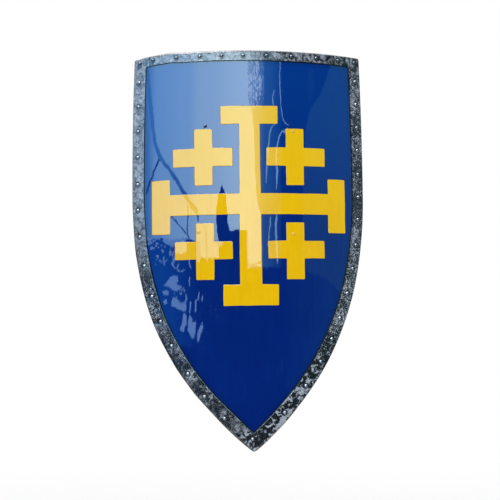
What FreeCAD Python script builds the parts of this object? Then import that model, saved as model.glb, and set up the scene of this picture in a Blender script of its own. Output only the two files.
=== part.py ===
"""Heater shield: a rolled steel face in a riveted steel rim, with two leather arm straps.

The shield stands point down. +Z is up, the painted face looks along -Y and +X is to the right
of someone who looks at that face. The origin is on the line of the bearer's forearm, in the
middle plane of the shield. Places on the face are given as they were marked on the flat sheet
before it was rolled: across from the middle line, and down from the top edge.
"""
import FreeCAD, Part
import math
import os
import Sketcher

Vector = FreeCAD.Vector
Rotation = FreeCAD.Rotation
Placement = FreeCAD.Placement

# Driving dimensions: name, size in millimetres or degrees, what it is.
SIZES = (
    ("shield_height", 711.0, "top edge to point, 28 in"),
    ("half_width_top", 219.5, "half width at the top edge, on the flat"),
    ("half_width_max", 226.0, "half width at the shoulder, on the flat"),
    ("shoulder_below_top", 258.0, "where the long side curves begin"),
    ("face_radius", 368.0, "roll radius of the painted face"),
    ("panel_thickness", 1.2, "18 gauge steel"),
    ("rim_thickness", 1.2, "18 gauge steel"),
    ("rim_width_side", 27.0, "front flange of the side strips"),
    ("rim_width_top", 18.5, "front flange of the top strip"),
    ("rim_back_side", 21.0, "back flange of the side strips"),
    ("rim_back_top", 15.0, "back flange of the top strip"),
    ("rim_fold_radius", 1.4, "rounding of the folded edge"),
    ("rim_fit", 0.05, "paint film between the rim and the face"),
    ("rim_edge_gap", 0.3, "face edge to the bottom of the fold"),
    ("seam_across", 187.0, "seam of the top strip from the middle line"),
    ("seam_gap", 0.3, "gap where two strips butt"),
    ("outer_corner_radius", 3.5, "outer top corners"),
    ("inner_corner_radius", 4.5, "inner top corners of the front flange"),
    ("outer_point_radius", 6.0, "rounding of the point"),
    ("inner_point_radius", 2.5, "rounding inside the point"),
    ("rim_rivet_inset_side", 13.0, "side rivets from the outer edge"),
    ("rim_rivet_inset_top", 9.2, "top rivets from the outer edge"),
    ("point_rivet_inset", 21.8, "point rivet above the point"),
    ("rivet_head_radius", 3.2, "domed head"),
    ("rivet_head_height", 2.0, "domed head"),
    ("rivet_shank_radius", 1.6, "rim rivet"),
    ("rivet_tail_radius", 2.5, "peened tail"),
    ("rivet_tail_height", 1.3, "peened tail"),
    ("rivet_hole_clearance", 0.1, "shank to hole"),
    ("rivet_seat_gap", 0.02, "head and tail on the curved steel"),
    ("strap_rivet_shank_radius", 1.9, "rivet through a strap end"),
    ("strap_rivet_tail_radius", 3.2, "peened tail on the washer"),
    ("strap_rivet_tail_height", 1.6, "peened tail on the washer"),
    ("washer_radius", 8.0, "steel washer on the leather"),
    ("washer_thickness", 1.2, "steel washer on the leather"),
    ("paint_thickness", 0.25, "yellow enamel on the blue"),
    ("paint_gap", 0.05, "yellow enamel off the steel"),
    ("cross_bar_half", 51.0, "half length of the crutch at top and bottom"),
    ("cross_top", 99.8, "top of the large cross"),
    ("cross_bottom", 454.7, "bottom of the large cross"),
    ("cross_bar_top_height", 31.8, "height of the top crutch"),
    ("cross_bar_bottom_height", 37.0, "height of the bottom crutch"),
    ("cross_post_half", 19.0, "half width of the upright"),
    ("cross_arm_top", 256.0, "upper edge of the arms"),
    ("cross_arm_bottom", 293.0, "lower edge of the arms"),
    ("cross_side_top", 229.0, "upper end of the side crutches"),
    ("cross_side_bottom", 326.0, "lower end of the side crutches"),
    ("cross_side_inner", 146.0, "inner edge of the side crutches"),
    ("cross_side_outer", 182.5, "outer edge of the side crutches"),
    ("crosslet_across", 85.0, "middle of a small cross from the middle line"),
    ("upper_crosslet_below_top", 190.2, "middle of the upper small crosses"),
    ("lower_crosslet_below_top", 357.5, "middle of the lower small crosses"),
    ("crosslet_half_width", 54.0, "half width of a small cross"),
    ("crosslet_half_height", 50.4, "half height of a small cross"),
    ("crosslet_arm_half", 16.2, "half width of its arms"),
    ("arm_line_below_top", 233.0, "forearm line below the top edge"),
    ("arm_line_behind_face", 48.0, "forearm line behind the painted face"),
    ("strap_width", 32.0, "leather straps"),
    ("strap_thickness", 2.8, "leather straps"),
    ("strap_fit", 0.3, "free gap beside moving or bent leather"),
    ("strap_end_tail", 16.0, "leather beyond the rivet"),
    ("strap_bend_after_rivet", 14.0, "flat leather inside the rivet"),
    ("strap_bend_radius", 16.0, "bend above a strap end"),
    ("strap_hole_clearance", 0.3, "rivet hole in the leather"),
    ("forearm_strap_across", 77.5, "forearm strap from the middle line"),
    ("forearm_strap_top", 144.6, "upper rivet below the top edge"),
    ("forearm_strap_bottom", 328.6, "lower rivet below the top edge"),
    ("forearm_flank_angle", 66.0, "rise of the strap from the face, degrees"),
    ("forearm_crown_radius", 42.0, "top of the forearm loop"),
    ("hand_strap_top_across", 79.9, "upper rivet from the middle line"),
    ("hand_strap_top", 134.9, "upper rivet below the top edge"),
    ("hand_strap_bottom_across", 93.3, "lower rivet from the middle line"),
    ("hand_strap_bottom", 324.4, "lower rivet below the top edge"),
    ("hand_flank_angle", 50.0, "rise of the strap from the face, degrees"),
    ("hand_crown_radius", 50.0, "top of the hand loop"),
    ("grip_width", 38.0, "leather grip on the hand strap"),
    ("grip_thickness", 10.0, "leather grip on the hand strap"),
    ("grip_edge_radius", 4.2, "rounding of the grip"),
    ("grip_flank", 12.0, "grip beyond the crown's curve"),
    ("grip_slot_gap", 0.1, "strap inside the grip"),
    ("buckle_wire_radius", 1.75, "round wire of the buckle"),
    ("buckle_side_wire_radius", 2.2, "side bars of the buckle"),
    ("buckle_length", 25.0, "heel bar to front bar"),
    ("buckle_side_gap", 1.2, "strap edge to the buckle's side bar"),
    ("buckle_from_crown", 4.0, "front bar below the crown's curve"),
    ("roller_radius", 3.2, "steel roller on the front bar"),
    ("roller_length", 28.0, "steel roller on the front bar"),
    ("roller_clearance", 0.05, "roller on its bar"),
    ("prong_radius", 1.5, "buckle tongue"),
    ("prong_eye_radius", 3.9, "outside of the eye on the heel bar"),
    ("prong_eye_width", 4.0, "eye along the heel bar"),
    ("prong_overhang", 3.4, "tip beyond the middle of the roller"),
    ("prong_lift", 10.0, "how far the tongue lifts in its hole, degrees"),
    ("prong_side_gap", 0.7, "tongue to the sides of its slot and hole"),
    ("chape_return_end", 31.0, "folded layer ends this far beyond the heel bar"),
    ("billet_tail_end", 31.5, "strap tip ends this far beyond the heel bar"),
    ("billet_hole_pitch", 22.0, "spacing of the buckle holes"),
    ("billet_hole_radius", 2.2, "spare buckle holes"),
    ("keeper_width", 9.0, "leather loop along the strap"),
    ("keeper_thickness", 2.0, "leather loop"),
    ("keeper_from_heel", 19.0, "middle of the loop beyond the heel bar"),
    ("overrun", 6.0, "how far cutting shapes pass what they cut"),
)

# Rim rivets: height below the top edge as shares of the shield's height.
LEFT_RIVET_SHARES = (0.017, 0.067, 0.129, 0.193, 0.259, 0.329, 0.395, 0.463,
                     0.537, 0.615, 0.678, 0.739, 0.808, 0.864, 0.918)
RIGHT_RIVET_SHARES = (0.013, 0.063, 0.122, 0.183, 0.242, 0.304, 0.363, 0.421,
                      0.487, 0.548, 0.611, 0.674, 0.726, 0.782, 0.841, 0.906)
# Top rivets: places across as shares of the half width at the shoulder.
TOP_RIVET_SHARES = (-0.793, -0.587, -0.392, -0.217, -0.048, 0.136, 0.338, 0.551, 0.753)

SPARE_HOLES_BEFORE = 3
SPARE_HOLES_AFTER = 1
TAPER_POINTS = 7
CURVE_POINTS = 14
CORNER_POINTS = 5

doc = FreeCAD.newDocument("HeaterShield")
sheet = doc.addObject("Spreadsheet::Sheet", "Sizes")
for row, (alias, number, meaning) in enumerate(SIZES, start=1):
    sheet.set("A%d" % row, alias)
    sheet.set("B%d" % row, str(number))
    sheet.set("C%d" % row, meaning)
    sheet.setAlias("B%d" % row, alias)
doc.recompute()


def mm(alias):
    """A driving dimension, read from the sheet."""
    return float(sheet.get(alias))


def cell(alias):
    """The same dimension, as it is written in an expression."""
    return "Sizes." + alias


AXIS_Y = mm("face_radius") - mm("arm_line_behind_face")
AXIS_Y_CELLS = "Sizes.face_radius - Sizes.arm_line_behind_face"
TOP_Z = mm("arm_line_below_top")
INNER_RADIUS = mm("face_radius") - mm("panel_thickness")
STACK = mm("panel_thickness") + 2 * (mm("rim_thickness") + mm("rim_fit"))


def feature(label, shape, placement=None):
    """A shape made by a formula, as an object of the document."""
    item = doc.addObject("Part::Feature", label)
    item.Label = label
    item.Shape = shape
    if placement is not None:
        item.Placement = placement
    return item


def cylinder(label, radius, height, placement=None):
    """A cylinder whose radius and height are expressions."""
    item = doc.addObject("Part::Cylinder", label)
    item.Label = label
    item.setExpression("Radius", radius)
    item.setExpression("Height", height)
    if placement is not None:
        item.Placement = placement
    return item


def cut(label, base, tool):
    item = doc.addObject("Part::Cut", label)
    item.Label = label
    item.Base = base
    item.Tool = tool
    return item


def common(label, base, tool):
    item = doc.addObject("Part::Common", label)
    item.Label = label
    item.Base = base
    item.Tool = tool
    return item


def fuse(label, pieces):
    item = doc.addObject("Part::MultiFuse", label)
    item.Label = label
    item.Shapes = pieces
    item.Refine = True
    return item


def compound(label, pieces):
    item = doc.addObject("Part::Compound", label)
    item.Label = label
    item.Links = pieces
    return item


# Places on the rolled face


def outward_placement(across, below_top, radius):
    """Radial placement: local Z points out of the face, local Y up, local X to the right."""
    turn = across / mm("face_radius")
    outward = Vector(math.sin(turn), -math.cos(turn), 0)
    right = Vector(math.cos(turn), math.sin(turn), 0)
    place = Vector(0, AXIS_Y, TOP_Z - below_top) + outward * radius
    return Placement(place, Rotation(right, Vector(0, 0, 1), outward, "ZYX"))


def side_half_width(below_top, inset):
    """Half width of the flat sheet at a height, less an inset."""
    widest = mm("half_width_max")
    shoulder = mm("shoulder_below_top")
    if below_top < shoulder:
        share = (shoulder - below_top) / shoulder
        return widest - inset - (widest - mm("half_width_top")) * share ** 2
    drop = below_top - shoulder
    radius = side_radius() - inset
    return widest - side_radius() + math.sqrt(radius ** 2 - drop ** 2)


def side_radius():
    """Radius of the long side curves, which run tangent into the rounded point."""
    point = mm("outer_point_radius")
    rise = mm("shield_height") - point - mm("shoulder_below_top")
    half = mm("half_width_max")
    return (half ** 2 + rise ** 2 - point ** 2) / (2 * (half - point))


def outline(inset, top_inset, corner_radius, point_radius):
    """Right half of the flat outline, from the top middle to the point, as runs of points."""
    shoulder = mm("shoulder_below_top")
    centre_across = mm("half_width_max") - side_radius()
    curve_radius = side_radius() - inset
    corner_down = top_inset + corner_radius
    corner_across = side_half_width(corner_down, inset) - corner_radius
    corner = []
    for step in range(CORNER_POINTS):
        angle = math.pi / 2 * step / (CORNER_POINTS - 1)
        corner.append((corner_across + corner_radius * math.sin(angle),
                       corner_down - corner_radius * math.cos(angle)))
    taper = []
    for step in range(TAPER_POINTS):
        down = corner_down + (shoulder - corner_down) * step / (TAPER_POINTS - 1)
        taper.append((side_half_width(down, inset), down))
    point_drop = math.sqrt((curve_radius - point_radius) ** 2 - centre_across ** 2)
    last_angle = math.atan2(point_drop, -centre_across)
    curve = []
    for step in range(CURVE_POINTS):
        angle = last_angle * step / (CURVE_POINTS - 1)
        curve.append((centre_across + curve_radius * math.cos(angle),
                      shoulder + curve_radius * math.sin(angle)))
    point = []
    for step in range(CORNER_POINTS):
        angle = last_angle + (math.pi / 2 - last_angle) * step / (CORNER_POINTS - 1)
        point.append((point_radius * math.cos(angle),
                      shoulder + point_drop + point_radius * math.sin(angle)))
    return [corner, taper + curve[1:], point]


def mirrored(runs):
    """The left half, in the order that closes the right half into a loop."""
    return [[(-across, down) for across, down in reversed(run)] for run in reversed(runs)]


def joined_at_middle(runs):
    """Both halves, with the two runs at the point made one."""
    left = mirrored(runs)
    point = runs[-1] + left[0][1:]
    return runs[:-1] + [point] + left[1:]


def plane_wire(runs, plane_y):
    """Closed wire in a plane square to Y, seen from the roll axis through the flat places."""
    reach = AXIS_Y - plane_y
    edges = []
    corners = []
    for run in runs:
        points = [Vector(reach * math.tan(across / mm("face_radius")), plane_y, TOP_Z - down)
                  for across, down in run]
        corners.append((points[0], points[-1]))
        if len(points) == 2:
            edges.append(Part.LineSegment(points[0], points[1]).toShape())
            continue
        lengths = [0.0]
        for before, after in zip(run, run[1:]):
            lengths.append(lengths[-1] + math.hypot(after[0] - before[0], after[1] - before[1]))
        curve = Part.BSplineCurve()
        curve.interpolate(Points=points, Parameters=lengths)
        edges.append(curve.toShape())
    for index, (first, last) in enumerate(corners):
        following = corners[(index + 1) % len(corners)][0]
        if last.distanceToPoint(following) > mm("rivet_seat_gap"):
            edges.append(Part.LineSegment(last, following).toShape())
    return Part.Wire(Part.__sortEdges__(edges))


DEEPEST_Y = AXIS_Y - INNER_RADIUS * math.cos(mm("half_width_max") / mm("face_radius"))


def prism(label, runs):
    """Solid that stands square to the rolled face over a flat outline."""
    wires = []
    for name, plane_y in (("front", -mm("arm_line_behind_face") - mm("overrun")),
                          ("back", DEEPEST_Y + mm("overrun"))):
        wires.append(feature(label + "_" + name, plane_wire(runs, plane_y)))
    item = doc.addObject("Part::Loft", label)
    item.Label = label
    item.Sections = wires
    item.Solid = True
    item.Ruled = True
    return item


def shell(label, inner, outer):
    """Tube about the roll axis, between two radii given as expressions."""
    tall = "Sizes.shield_height + 2 * Sizes.overrun"
    low = Vector(0, AXIS_Y, TOP_Z - mm("shield_height") - mm("overrun"))
    outside = cylinder(label + "_outside", outer, tall, Placement(low, Rotation()))
    inside = cylinder(label + "_inside", inner, tall, Placement(low, Rotation()))
    for item in (outside, inside):
        item.setExpression("Placement.Base.y", AXIS_Y_CELLS)
        item.setExpression(
            "Placement.Base.z",
            "Sizes.arm_line_below_top - Sizes.shield_height - Sizes.overrun")
    return cut(label, outside, inside)


# Rivet places


def left_rivet_places():
    inset = mm("rim_rivet_inset_side")
    downs = [share * mm("shield_height") for share in LEFT_RIVET_SHARES]
    return [(-side_half_width(down, inset), down) for down in downs]


def right_rivet_places():
    inset = mm("rim_rivet_inset_side")
    downs = [share * mm("shield_height") for share in RIGHT_RIVET_SHARES]
    return [(side_half_width(down, inset), down) for down in downs]


def top_rivet_places():
    down = mm("rim_rivet_inset_top")
    return [(share * mm("half_width_max"), down) for share in TOP_RIVET_SHARES]


def point_rivet_places():
    return [(0.0, mm("shield_height") - mm("point_rivet_inset"))]


def forearm_rivet_places():
    across = mm("forearm_strap_across")
    return [(across, mm("forearm_strap_top")), (across, mm("forearm_strap_bottom"))]


def hand_rivet_places():
    return [(-mm("hand_strap_top_across"), mm("hand_strap_top")),
            (-mm("hand_strap_bottom_across"), mm("hand_strap_bottom"))]


def rim_rivet_places():
    return left_rivet_places() + right_rivet_places() + top_rivet_places() + point_rivet_places()


def strap_rivet_places():
    return forearm_rivet_places() + hand_rivet_places()


def hole_tools(label, places, radius_cells):
    """One drill through face and rim at each place."""
    drill = cylinder(label + "_drill", radius_cells, "4 * Sizes.overrun")
    doc.recompute()
    drills = []
    for across, down in places:
        start = INNER_RADIUS - 2 * mm("overrun")
        drills.append(drill.Shape.copy())
        drills[-1].Placement = outward_placement(across, down, start)
    return feature(label, Part.makeCompound(drills))


# Face and paint


def make_face_panel():
    fold = mm("rim_thickness") + mm("rim_edge_gap")
    inner_corner = max(mm("outer_corner_radius") - fold, mm("rim_edge_gap"))
    inner_point = max(mm("outer_point_radius") - fold, mm("rim_edge_gap"))
    runs = outline(fold, fold, inner_corner, inner_point)
    blank = common("panel_blank", shell("panel_shell", "Sizes.face_radius - Sizes.panel_thickness",
                                        "Sizes.face_radius"),
                   prism("panel_prism", joined_at_middle(runs)))
    drilled = cut("panel_rim_drilled", blank,
                  hole_tools("panel_rim_holes", rim_rivet_places(),
                             "Sizes.rivet_shank_radius + Sizes.rivet_hole_clearance"))
    return cut("face_panel", drilled,
               hole_tools("panel_strap_holes", strap_rivet_places(),
                          "Sizes.strap_rivet_shank_radius + Sizes.rivet_hole_clearance"))


def polygon_runs(corners):
    """Straight runs between the corners of a figure on the flat sheet."""
    return [[first, second] for first, second in zip(corners, corners[1:] + corners[:1])]


def cross_potent_corners():
    bar = mm("cross_bar_half")
    post = mm("cross_post_half")
    inner = mm("cross_side_inner")
    outer = mm("cross_side_outer")
    top = mm("cross_top")
    bottom = mm("cross_bottom")
    under_top = top + mm("cross_bar_top_height")
    over_bottom = bottom - mm("cross_bar_bottom_height")
    right = [(bar, top), (bar, under_top), (post, under_top), (post, mm("cross_arm_top")),
             (inner, mm("cross_arm_top")), (inner, mm("cross_side_top")),
             (outer, mm("cross_side_top")), (outer, mm("cross_side_bottom")),
             (inner, mm("cross_side_bottom")), (inner, mm("cross_arm_bottom")),
             (post, mm("cross_arm_bottom")), (post, over_bottom), (bar, over_bottom), (bar, bottom)]
    left = [(-across, down) for across, down in reversed(right)]
    return right + left


def crosslet_corners(across, below_top):
    wide = mm("crosslet_half_width")
    high = mm("crosslet_half_height")
    arm = mm("crosslet_arm_half")
    quarter = [(arm, -high), (arm, -arm), (wide, -arm), (wide, arm), (arm, arm), (arm, high)]
    other = [(-x, -y) for x, y in quarter]
    return [(across + x, below_top + y) for x, y in quarter + other]


def make_paint(label, figures):
    """Figures of enamel on the face, with a hole round each rivet head that they meet."""
    film = shell(label + "_film", "Sizes.face_radius + Sizes.paint_gap",
                 "Sizes.face_radius + Sizes.paint_gap + Sizes.paint_thickness")
    prisms = [prism("%s_prism_%d" % (label, number), polygon_runs(corners))
              for number, corners in enumerate(figures, start=1)]
    area = prisms[0] if len(prisms) == 1 else compound(label + "_area", prisms)
    heads = hole_tools(label + "_heads", strap_rivet_places(),
                       "Sizes.rivet_head_radius + Sizes.rivet_hole_clearance")
    return cut(label, common(label + "_blank", film, area), heads)


def make_crosslets_paint():
    across = mm("crosslet_across")
    figures = [crosslet_corners(side * across, mm(down))
               for side in (-1, 1)
               for down in ("upper_crosslet_below_top", "lower_crosslet_below_top")]
    return make_paint("crosslets_paint", figures)


# Rim


def seam_tool(label, from_across, to_across, from_down, to_down):
    """Block square to the rolled face over a stretch of the rim."""
    return prism(label, polygon_runs([(from_across, from_down), (to_across, from_down),
                                      (to_across, to_down), (from_across, to_down)]))


def make_rim():
    """Folded strip round the whole edge, then parted at its seams."""
    thick = mm("rim_thickness")
    corner = mm("outer_corner_radius")
    point = mm("outer_point_radius")
    inner_corner = mm("inner_corner_radius")
    inner_point = mm("inner_point_radius")
    bar = common("rim_bar",
                 shell("rim_shell",
                       "Sizes.face_radius - Sizes.panel_thickness - Sizes.rim_fit"
                       " - Sizes.rim_thickness",
                       "Sizes.face_radius + Sizes.rim_fit + Sizes.rim_thickness"),
                 prism("rim_prism", joined_at_middle(outline(0.0, 0.0, corner, point))))
    slot = common("rim_slot",
                  shell("rim_slot_shell",
                        "Sizes.face_radius - Sizes.panel_thickness - Sizes.rim_fit",
                        "Sizes.face_radius + Sizes.rim_fit"),
                  prism("rim_slot_prism",
                        joined_at_middle(outline(thick, thick, corner - thick, point - thick))))
    front = common("rim_front_window",
                   shell("rim_front_shell", "Sizes.face_radius",
                         "Sizes.face_radius + Sizes.overrun"),
                   prism("rim_front_prism",
                         joined_at_middle(outline(mm("rim_width_side"), mm("rim_width_top"),
                                                  inner_corner, inner_point))))
    back = common("rim_back_window",
                  shell("rim_back_shell",
                        "Sizes.face_radius - Sizes.panel_thickness - Sizes.overrun",
                        "Sizes.face_radius - Sizes.panel_thickness"),
                  prism("rim_back_prism",
                        joined_at_middle(outline(mm("rim_back_side"), mm("rim_back_top"),
                                                 inner_corner, inner_point))))
    rounded = round_fold(bar)
    ring = cut("rim_unparted", rounded, fuse("rim_hollow", [slot, front, back]))
    drilled = cut("rim_drilled", ring,
                  hole_tools("rim_holes", rim_rivet_places(),
                             "Sizes.rivet_shank_radius + Sizes.rivet_hole_clearance"))
    return part_rim(drilled)


def round_fold(bar):
    """Rounds the two long outer corners of the strip, where the steel is folded."""
    doc.recompute()
    item = doc.addObject("Part::Fillet", "rim_rounded")
    item.Base = bar
    item.Edges = [(number, mm("rim_fold_radius"), mm("rim_fold_radius"))
                  for number, edge in enumerate(bar.Shape.Edges, start=1)
                  if not is_across_fold(edge)]
    return item


def is_across_fold(edge):
    """Whether an edge crosses the thickness of the strip, from its front to its back."""
    radii = [math.hypot(vertex.X, vertex.Y - AXIS_Y) for vertex in edge.Vertexes]
    return max(radii) - min(radii) > mm("panel_thickness")


def part_rim(ring):
    """The top strip between its two seams, and the two side strips that meet at the point."""
    beyond = mm("overrun")
    wide = mm("half_width_max") + beyond
    seam = mm("seam_across")
    gap = mm("seam_gap") / 2
    deep = mm("rim_width_top") + beyond
    tall = mm("shield_height") + beyond
    top = common("rim_band_top", ring,
                 seam_tool("top_seams", -seam + gap, seam - gap, -beyond, deep))
    strips = [top]
    for side, name in ((-1, "left"), (1, "right")):
        half = common("rim_half_" + name, ring,
                      seam_tool(name + "_half", side * gap, side * wide, -beyond, tall))
        strips.append(cut("rim_band_" + name, half,
                          seam_tool(name + "_seam", -seam - gap, seam + gap, -beyond, deep)))
    return strips


# Rivets and washers


def rivet_master(label, grip, kind):
    """One rivet, its seat at height zero: domed head in front, peened tail behind the grip."""
    gap = mm("rivet_seat_gap")
    low = Placement(Vector(0, 0, -grip - gap), Rotation())
    shank = doc.addObject("Part::Cylinder", label + "_shank")
    shank.setExpression("Radius", cell(kind + "_shank_radius"))
    shank.Height = grip + 2 * gap
    shank.Placement = low
    head = dome(label + "_head", cell("rivet_head_radius"), cell("rivet_head_height"))
    head.Placement = Placement(Vector(0, 0, gap), Rotation())
    tail = dome(label + "_tail", cell(kind + "_tail_radius"), cell(kind + "_tail_height"))
    tail.Placement = low.multiply(Placement(Vector(0, 0, 0), Rotation(Vector(1, 0, 0), 180)))
    return fuse(label, [shank, head, tail])


def dome(label, radius, height):
    """A ball's cap that stands on height zero."""
    ball = doc.addObject("Part::Sphere", label + "_ball")
    ball.setExpression("Radius", "(%s * %s + %s * %s) / (2 * %s)"
                       % (radius, radius, height, height, height))
    ball.setExpression("Placement.Base.z", "%s - (%s * %s + %s * %s) / (2 * %s)"
                       % (height, radius, radius, height, height, height))
    return common(label, ball, cylinder(label + "_stock", radius + " * 2", height))


def group(label, master, places, radius):
    """Copies of one rivet or washer, each square to the face at its place."""
    doc.recompute()
    copies = []
    for across, down in places:
        copies.append(master.Shape.copy())
        copies[-1].Placement = outward_placement(across, down, radius).multiply(
            master.Shape.Placement)
    return feature(label, Part.makeCompound(copies))


def strap_seat(places):
    """Gap from the hollow face to the middle of a flat strap end whose edges rest on it."""
    aside = mm("strap_width") / 2 + abs(places[0][0] - places[1][0]) / 2
    return aside ** 2 / (2 * INNER_RADIUS) + mm("rivet_seat_gap")


def washer_lean(places):
    """Gap under a washer that is square to its rivet and not quite square to the strap."""
    return mm("washer_radius") * abs(places[0][0] - places[1][0]) / 2 / mm("face_radius")


def make_rim_rivets():
    master = rivet_master("rim_rivet", STACK, "rivet")
    seat = mm("face_radius") + mm("rim_fit") + mm("rim_thickness")
    groups = (("rim_rivets_top", top_rivet_places()), ("rim_rivets_left", left_rivet_places()),
              ("rim_rivets_right", right_rivet_places()), ("rim_rivet_point", point_rivet_places()))
    return [group(label, master, places, seat) for label, places in groups]


def make_strap_rivets(name, places):
    grip = (mm("panel_thickness") + strap_seat(places) + mm("strap_thickness")
            + washer_lean(places) + mm("washer_thickness") + 2 * mm("rivet_seat_gap"))
    master = rivet_master(name + "_strap_rivet", grip, "strap_rivet")
    return group(name + "_strap_rivets", master, places, mm("face_radius"))


def origin_plane(body, role):
    for plane in body.Origin.OriginFeatures:
        if plane.Role == role:
            return plane
    raise ValueError("no plane " + role)


def sketch_on(body, label, role):
    sketch = body.newObject("Sketcher::SketchObject", label)
    sketch.AttachmentSupport = [(origin_plane(body, role), "")]
    sketch.MapMode = "FlatFace"
    return sketch


def add_circle(sketch, name, radius_cells, radius):
    """Circle about the sketch's origin with a bound radius."""
    index = sketch.addGeometry(Part.Circle(Vector(0, 0, 0), Vector(0, 0, 1), radius))
    sketch.addConstraint(Sketcher.Constraint("Coincident", index, 3, -1, 1))
    number = sketch.addConstraint(Sketcher.Constraint("Radius", index, radius))
    sketch.renameConstraint(number, name)
    sketch.setExpression("Constraints." + name, radius_cells)


def add_rectangle(sketch, name, wide_cells, high_cells, wide, high):
    """Rectangle about the sketch's origin with bound width and height."""
    x = wide / 2
    y = high / 2
    corners = [Vector(-x, -y, 0), Vector(x, -y, 0), Vector(x, y, 0), Vector(-x, y, 0)]
    lines = [sketch.addGeometry(Part.LineSegment(first, second))
             for first, second in zip(corners, corners[1:] + corners[:1])]
    for first, second in zip(lines, lines[1:] + lines[:1]):
        sketch.addConstraint(Sketcher.Constraint("Coincident", first, 2, second, 1))
    for line, direction in zip(lines, ("Horizontal", "Vertical", "Horizontal", "Vertical")):
        sketch.addConstraint(Sketcher.Constraint(direction, line))
    sketch.addConstraint(Sketcher.Constraint("Symmetric", lines[0], 1, lines[2], 1, -1, 1))
    for kind, line, suffix, cells, length in (
            ("DistanceX", lines[0], "wide", wide_cells, wide),
            ("DistanceY", lines[1], "high", high_cells, high)):
        number = sketch.addConstraint(Sketcher.Constraint(kind, line, 1, line, 2, length))
        sketch.renameConstraint(number, name + "_" + suffix)
        sketch.setExpression("Constraints.%s_%s" % (name, suffix), cells)


def ring_body(label, role, circles, length_cells):
    """Round ring made of two bound circles, padded both ways from its middle."""
    body = doc.addObject("PartDesign::Body", label)
    body.Label = label
    sketch = sketch_on(body, label + "_sketch", role)
    for name, cells, radius in circles:
        add_circle(sketch, name, cells, radius)
    pad = body.newObject("PartDesign::Pad", label + "_pad")
    pad.Profile = sketch
    pad.SideType = "Symmetric"
    pad.setExpression("Length", length_cells)
    return body


def make_strap_washers(name, places):
    master = ring_body(name + "_washer", "XY_Plane",
                       (("outside", cell("washer_radius"), mm("washer_radius")),
                        ("hole", "Sizes.strap_rivet_shank_radius + Sizes.rivet_hole_clearance",
                         mm("strap_rivet_shank_radius") + mm("rivet_hole_clearance"))),
                       cell("washer_thickness"))
    middle = (INNER_RADIUS - strap_seat(places) - mm("strap_thickness") - washer_lean(places)
              - mm("rivet_seat_gap") - mm("washer_thickness") / 2)
    return group(name + "_strap_washers", master, places, middle)


# Leather straps
# A strap's outline is drawn in its own middle plane: up along the strap, and out from the face.


class StrapPath:
    """Straight runs joined by tangent arcs, as (up, out) points with a radius at each corner."""

    def __init__(self, corners):
        self.pieces = []
        last = Vector(corners[0][0], corners[0][1], 0)
        for before, corner, after in zip(corners, corners[1:], corners[2:]):
            here = Vector(corner[0], corner[1], 0)
            come = (here - Vector(before[0], before[1], 0)).normalize()
            leave = (Vector(after[0], after[1], 0) - here).normalize()
            turn = math.atan2(come.x * leave.y - come.y * leave.x, come.dot(leave))
            reach = corner[2] * math.tan(abs(turn) / 2)
            start = here - come * reach
            if (start - last).dot(come) > mm("rivet_seat_gap"):
                self.pieces.append(("line", last, start, come, 0.0, 0.0))
            end = here + leave * reach
            self.pieces.append(("arc", start, end, come, turn, corner[2]))
            last = end
        finish = Vector(corners[-1][0], corners[-1][1], 0)
        self.pieces.append(("line", last, finish, (finish - last).normalize(), 0.0, 0.0))

    def offset_curve(self, distance):
        """The path moved sideways: lines, and arcs through their middle points."""
        curve = []
        for kind, start, end, come, turn, radius in self.pieces:
            side = Vector(-come.y, come.x, 0)
            if kind == "line":
                curve.append((start + side * distance, None, end + side * distance))
                continue
            sign = 1.0 if turn > 0 else -1.0
            centre = start + side * sign * radius
            arm = start + side * distance - centre
            half = self.turned(arm, turn / 2)
            curve.append((centre + arm, centre + half, centre + self.turned(arm, turn)))
        return curve

    @staticmethod
    def turned(arm, angle):
        return Vector(arm.x * math.cos(angle) - arm.y * math.sin(angle),
                      arm.x * math.sin(angle) + arm.y * math.cos(angle), 0)

    def at(self, travel):
        """Point and direction after a travel along the path from its start."""
        for kind, start, end, come, turn, radius in self.pieces:
            length = abs(turn) * radius if kind == "arc" else (end - start).Length
            if travel <= length:
                if kind == "line":
                    return start + come * travel, come
                sign = 1.0 if turn > 0 else -1.0
                side = Vector(-come.y, come.x, 0) * sign
                angle = sign * travel / radius
                centre = start + side * radius
                return centre + self.turned(side * -radius, angle), self.turned(come, angle)
            travel -= length
        raise ValueError("the path is shorter than that")

    def travel_to(self, place):
        """Travel along the path to the point of a straight run that is nearest to a place."""
        best = None
        before = 0.0
        for kind, start, end, come, turn, radius in self.pieces:
            length = abs(turn) * radius if kind == "arc" else (end - start).Length
            if kind == "line":
                along = min(max((place - start).dot(come), 0.0), length)
                gap = (start + come * along - place).Length
                if best is None or gap < best[0]:
                    best = (gap, before + along)
            before += length
        return best[1]


def in_strap(point, across=0.0):
    """A path point (up, out) in the strap's local frame: X across, Y out, Z up."""
    return Vector(across, point.y, point.x)


def edge_of(start, middle, end, across):
    if middle is None:
        return Part.LineSegment(in_strap(start, across), in_strap(end, across)).toShape()
    return Part.Arc(in_strap(start, across), in_strap(middle, across),
                    in_strap(end, across)).toShape()


def ribbon(label, path, thickness, width_cells, width):
    """Leather of even thickness along a path, as wide as the strap."""
    above = path.offset_curve(thickness / 2)
    below = path.offset_curve(-thickness / 2)
    across = -width / 2
    edges = [edge_of(start, middle, end, across) for start, middle, end in above]
    edges += [edge_of(start, middle, end, across) for start, middle, end in below]
    edges.append(edge_of(above[0][0], None, below[0][0], across))
    edges.append(edge_of(above[-1][2], None, below[-1][2], across))
    profile = feature(label + "_profile", Part.Face(Part.Wire(Part.__sortEdges__(edges))))
    item = doc.addObject("Part::Extrusion", label)
    item.Label = label
    item.Base = profile
    item.DirMode = "Custom"
    item.Dir = Vector(1, 0, 0)
    item.setExpression("LengthFwd", width_cells)
    item.Solid = True
    return item


def strap_width_ribbon(label, path):
    return ribbon(label, path, mm("strap_thickness"), cell("strap_width"), mm("strap_width"))


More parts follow.
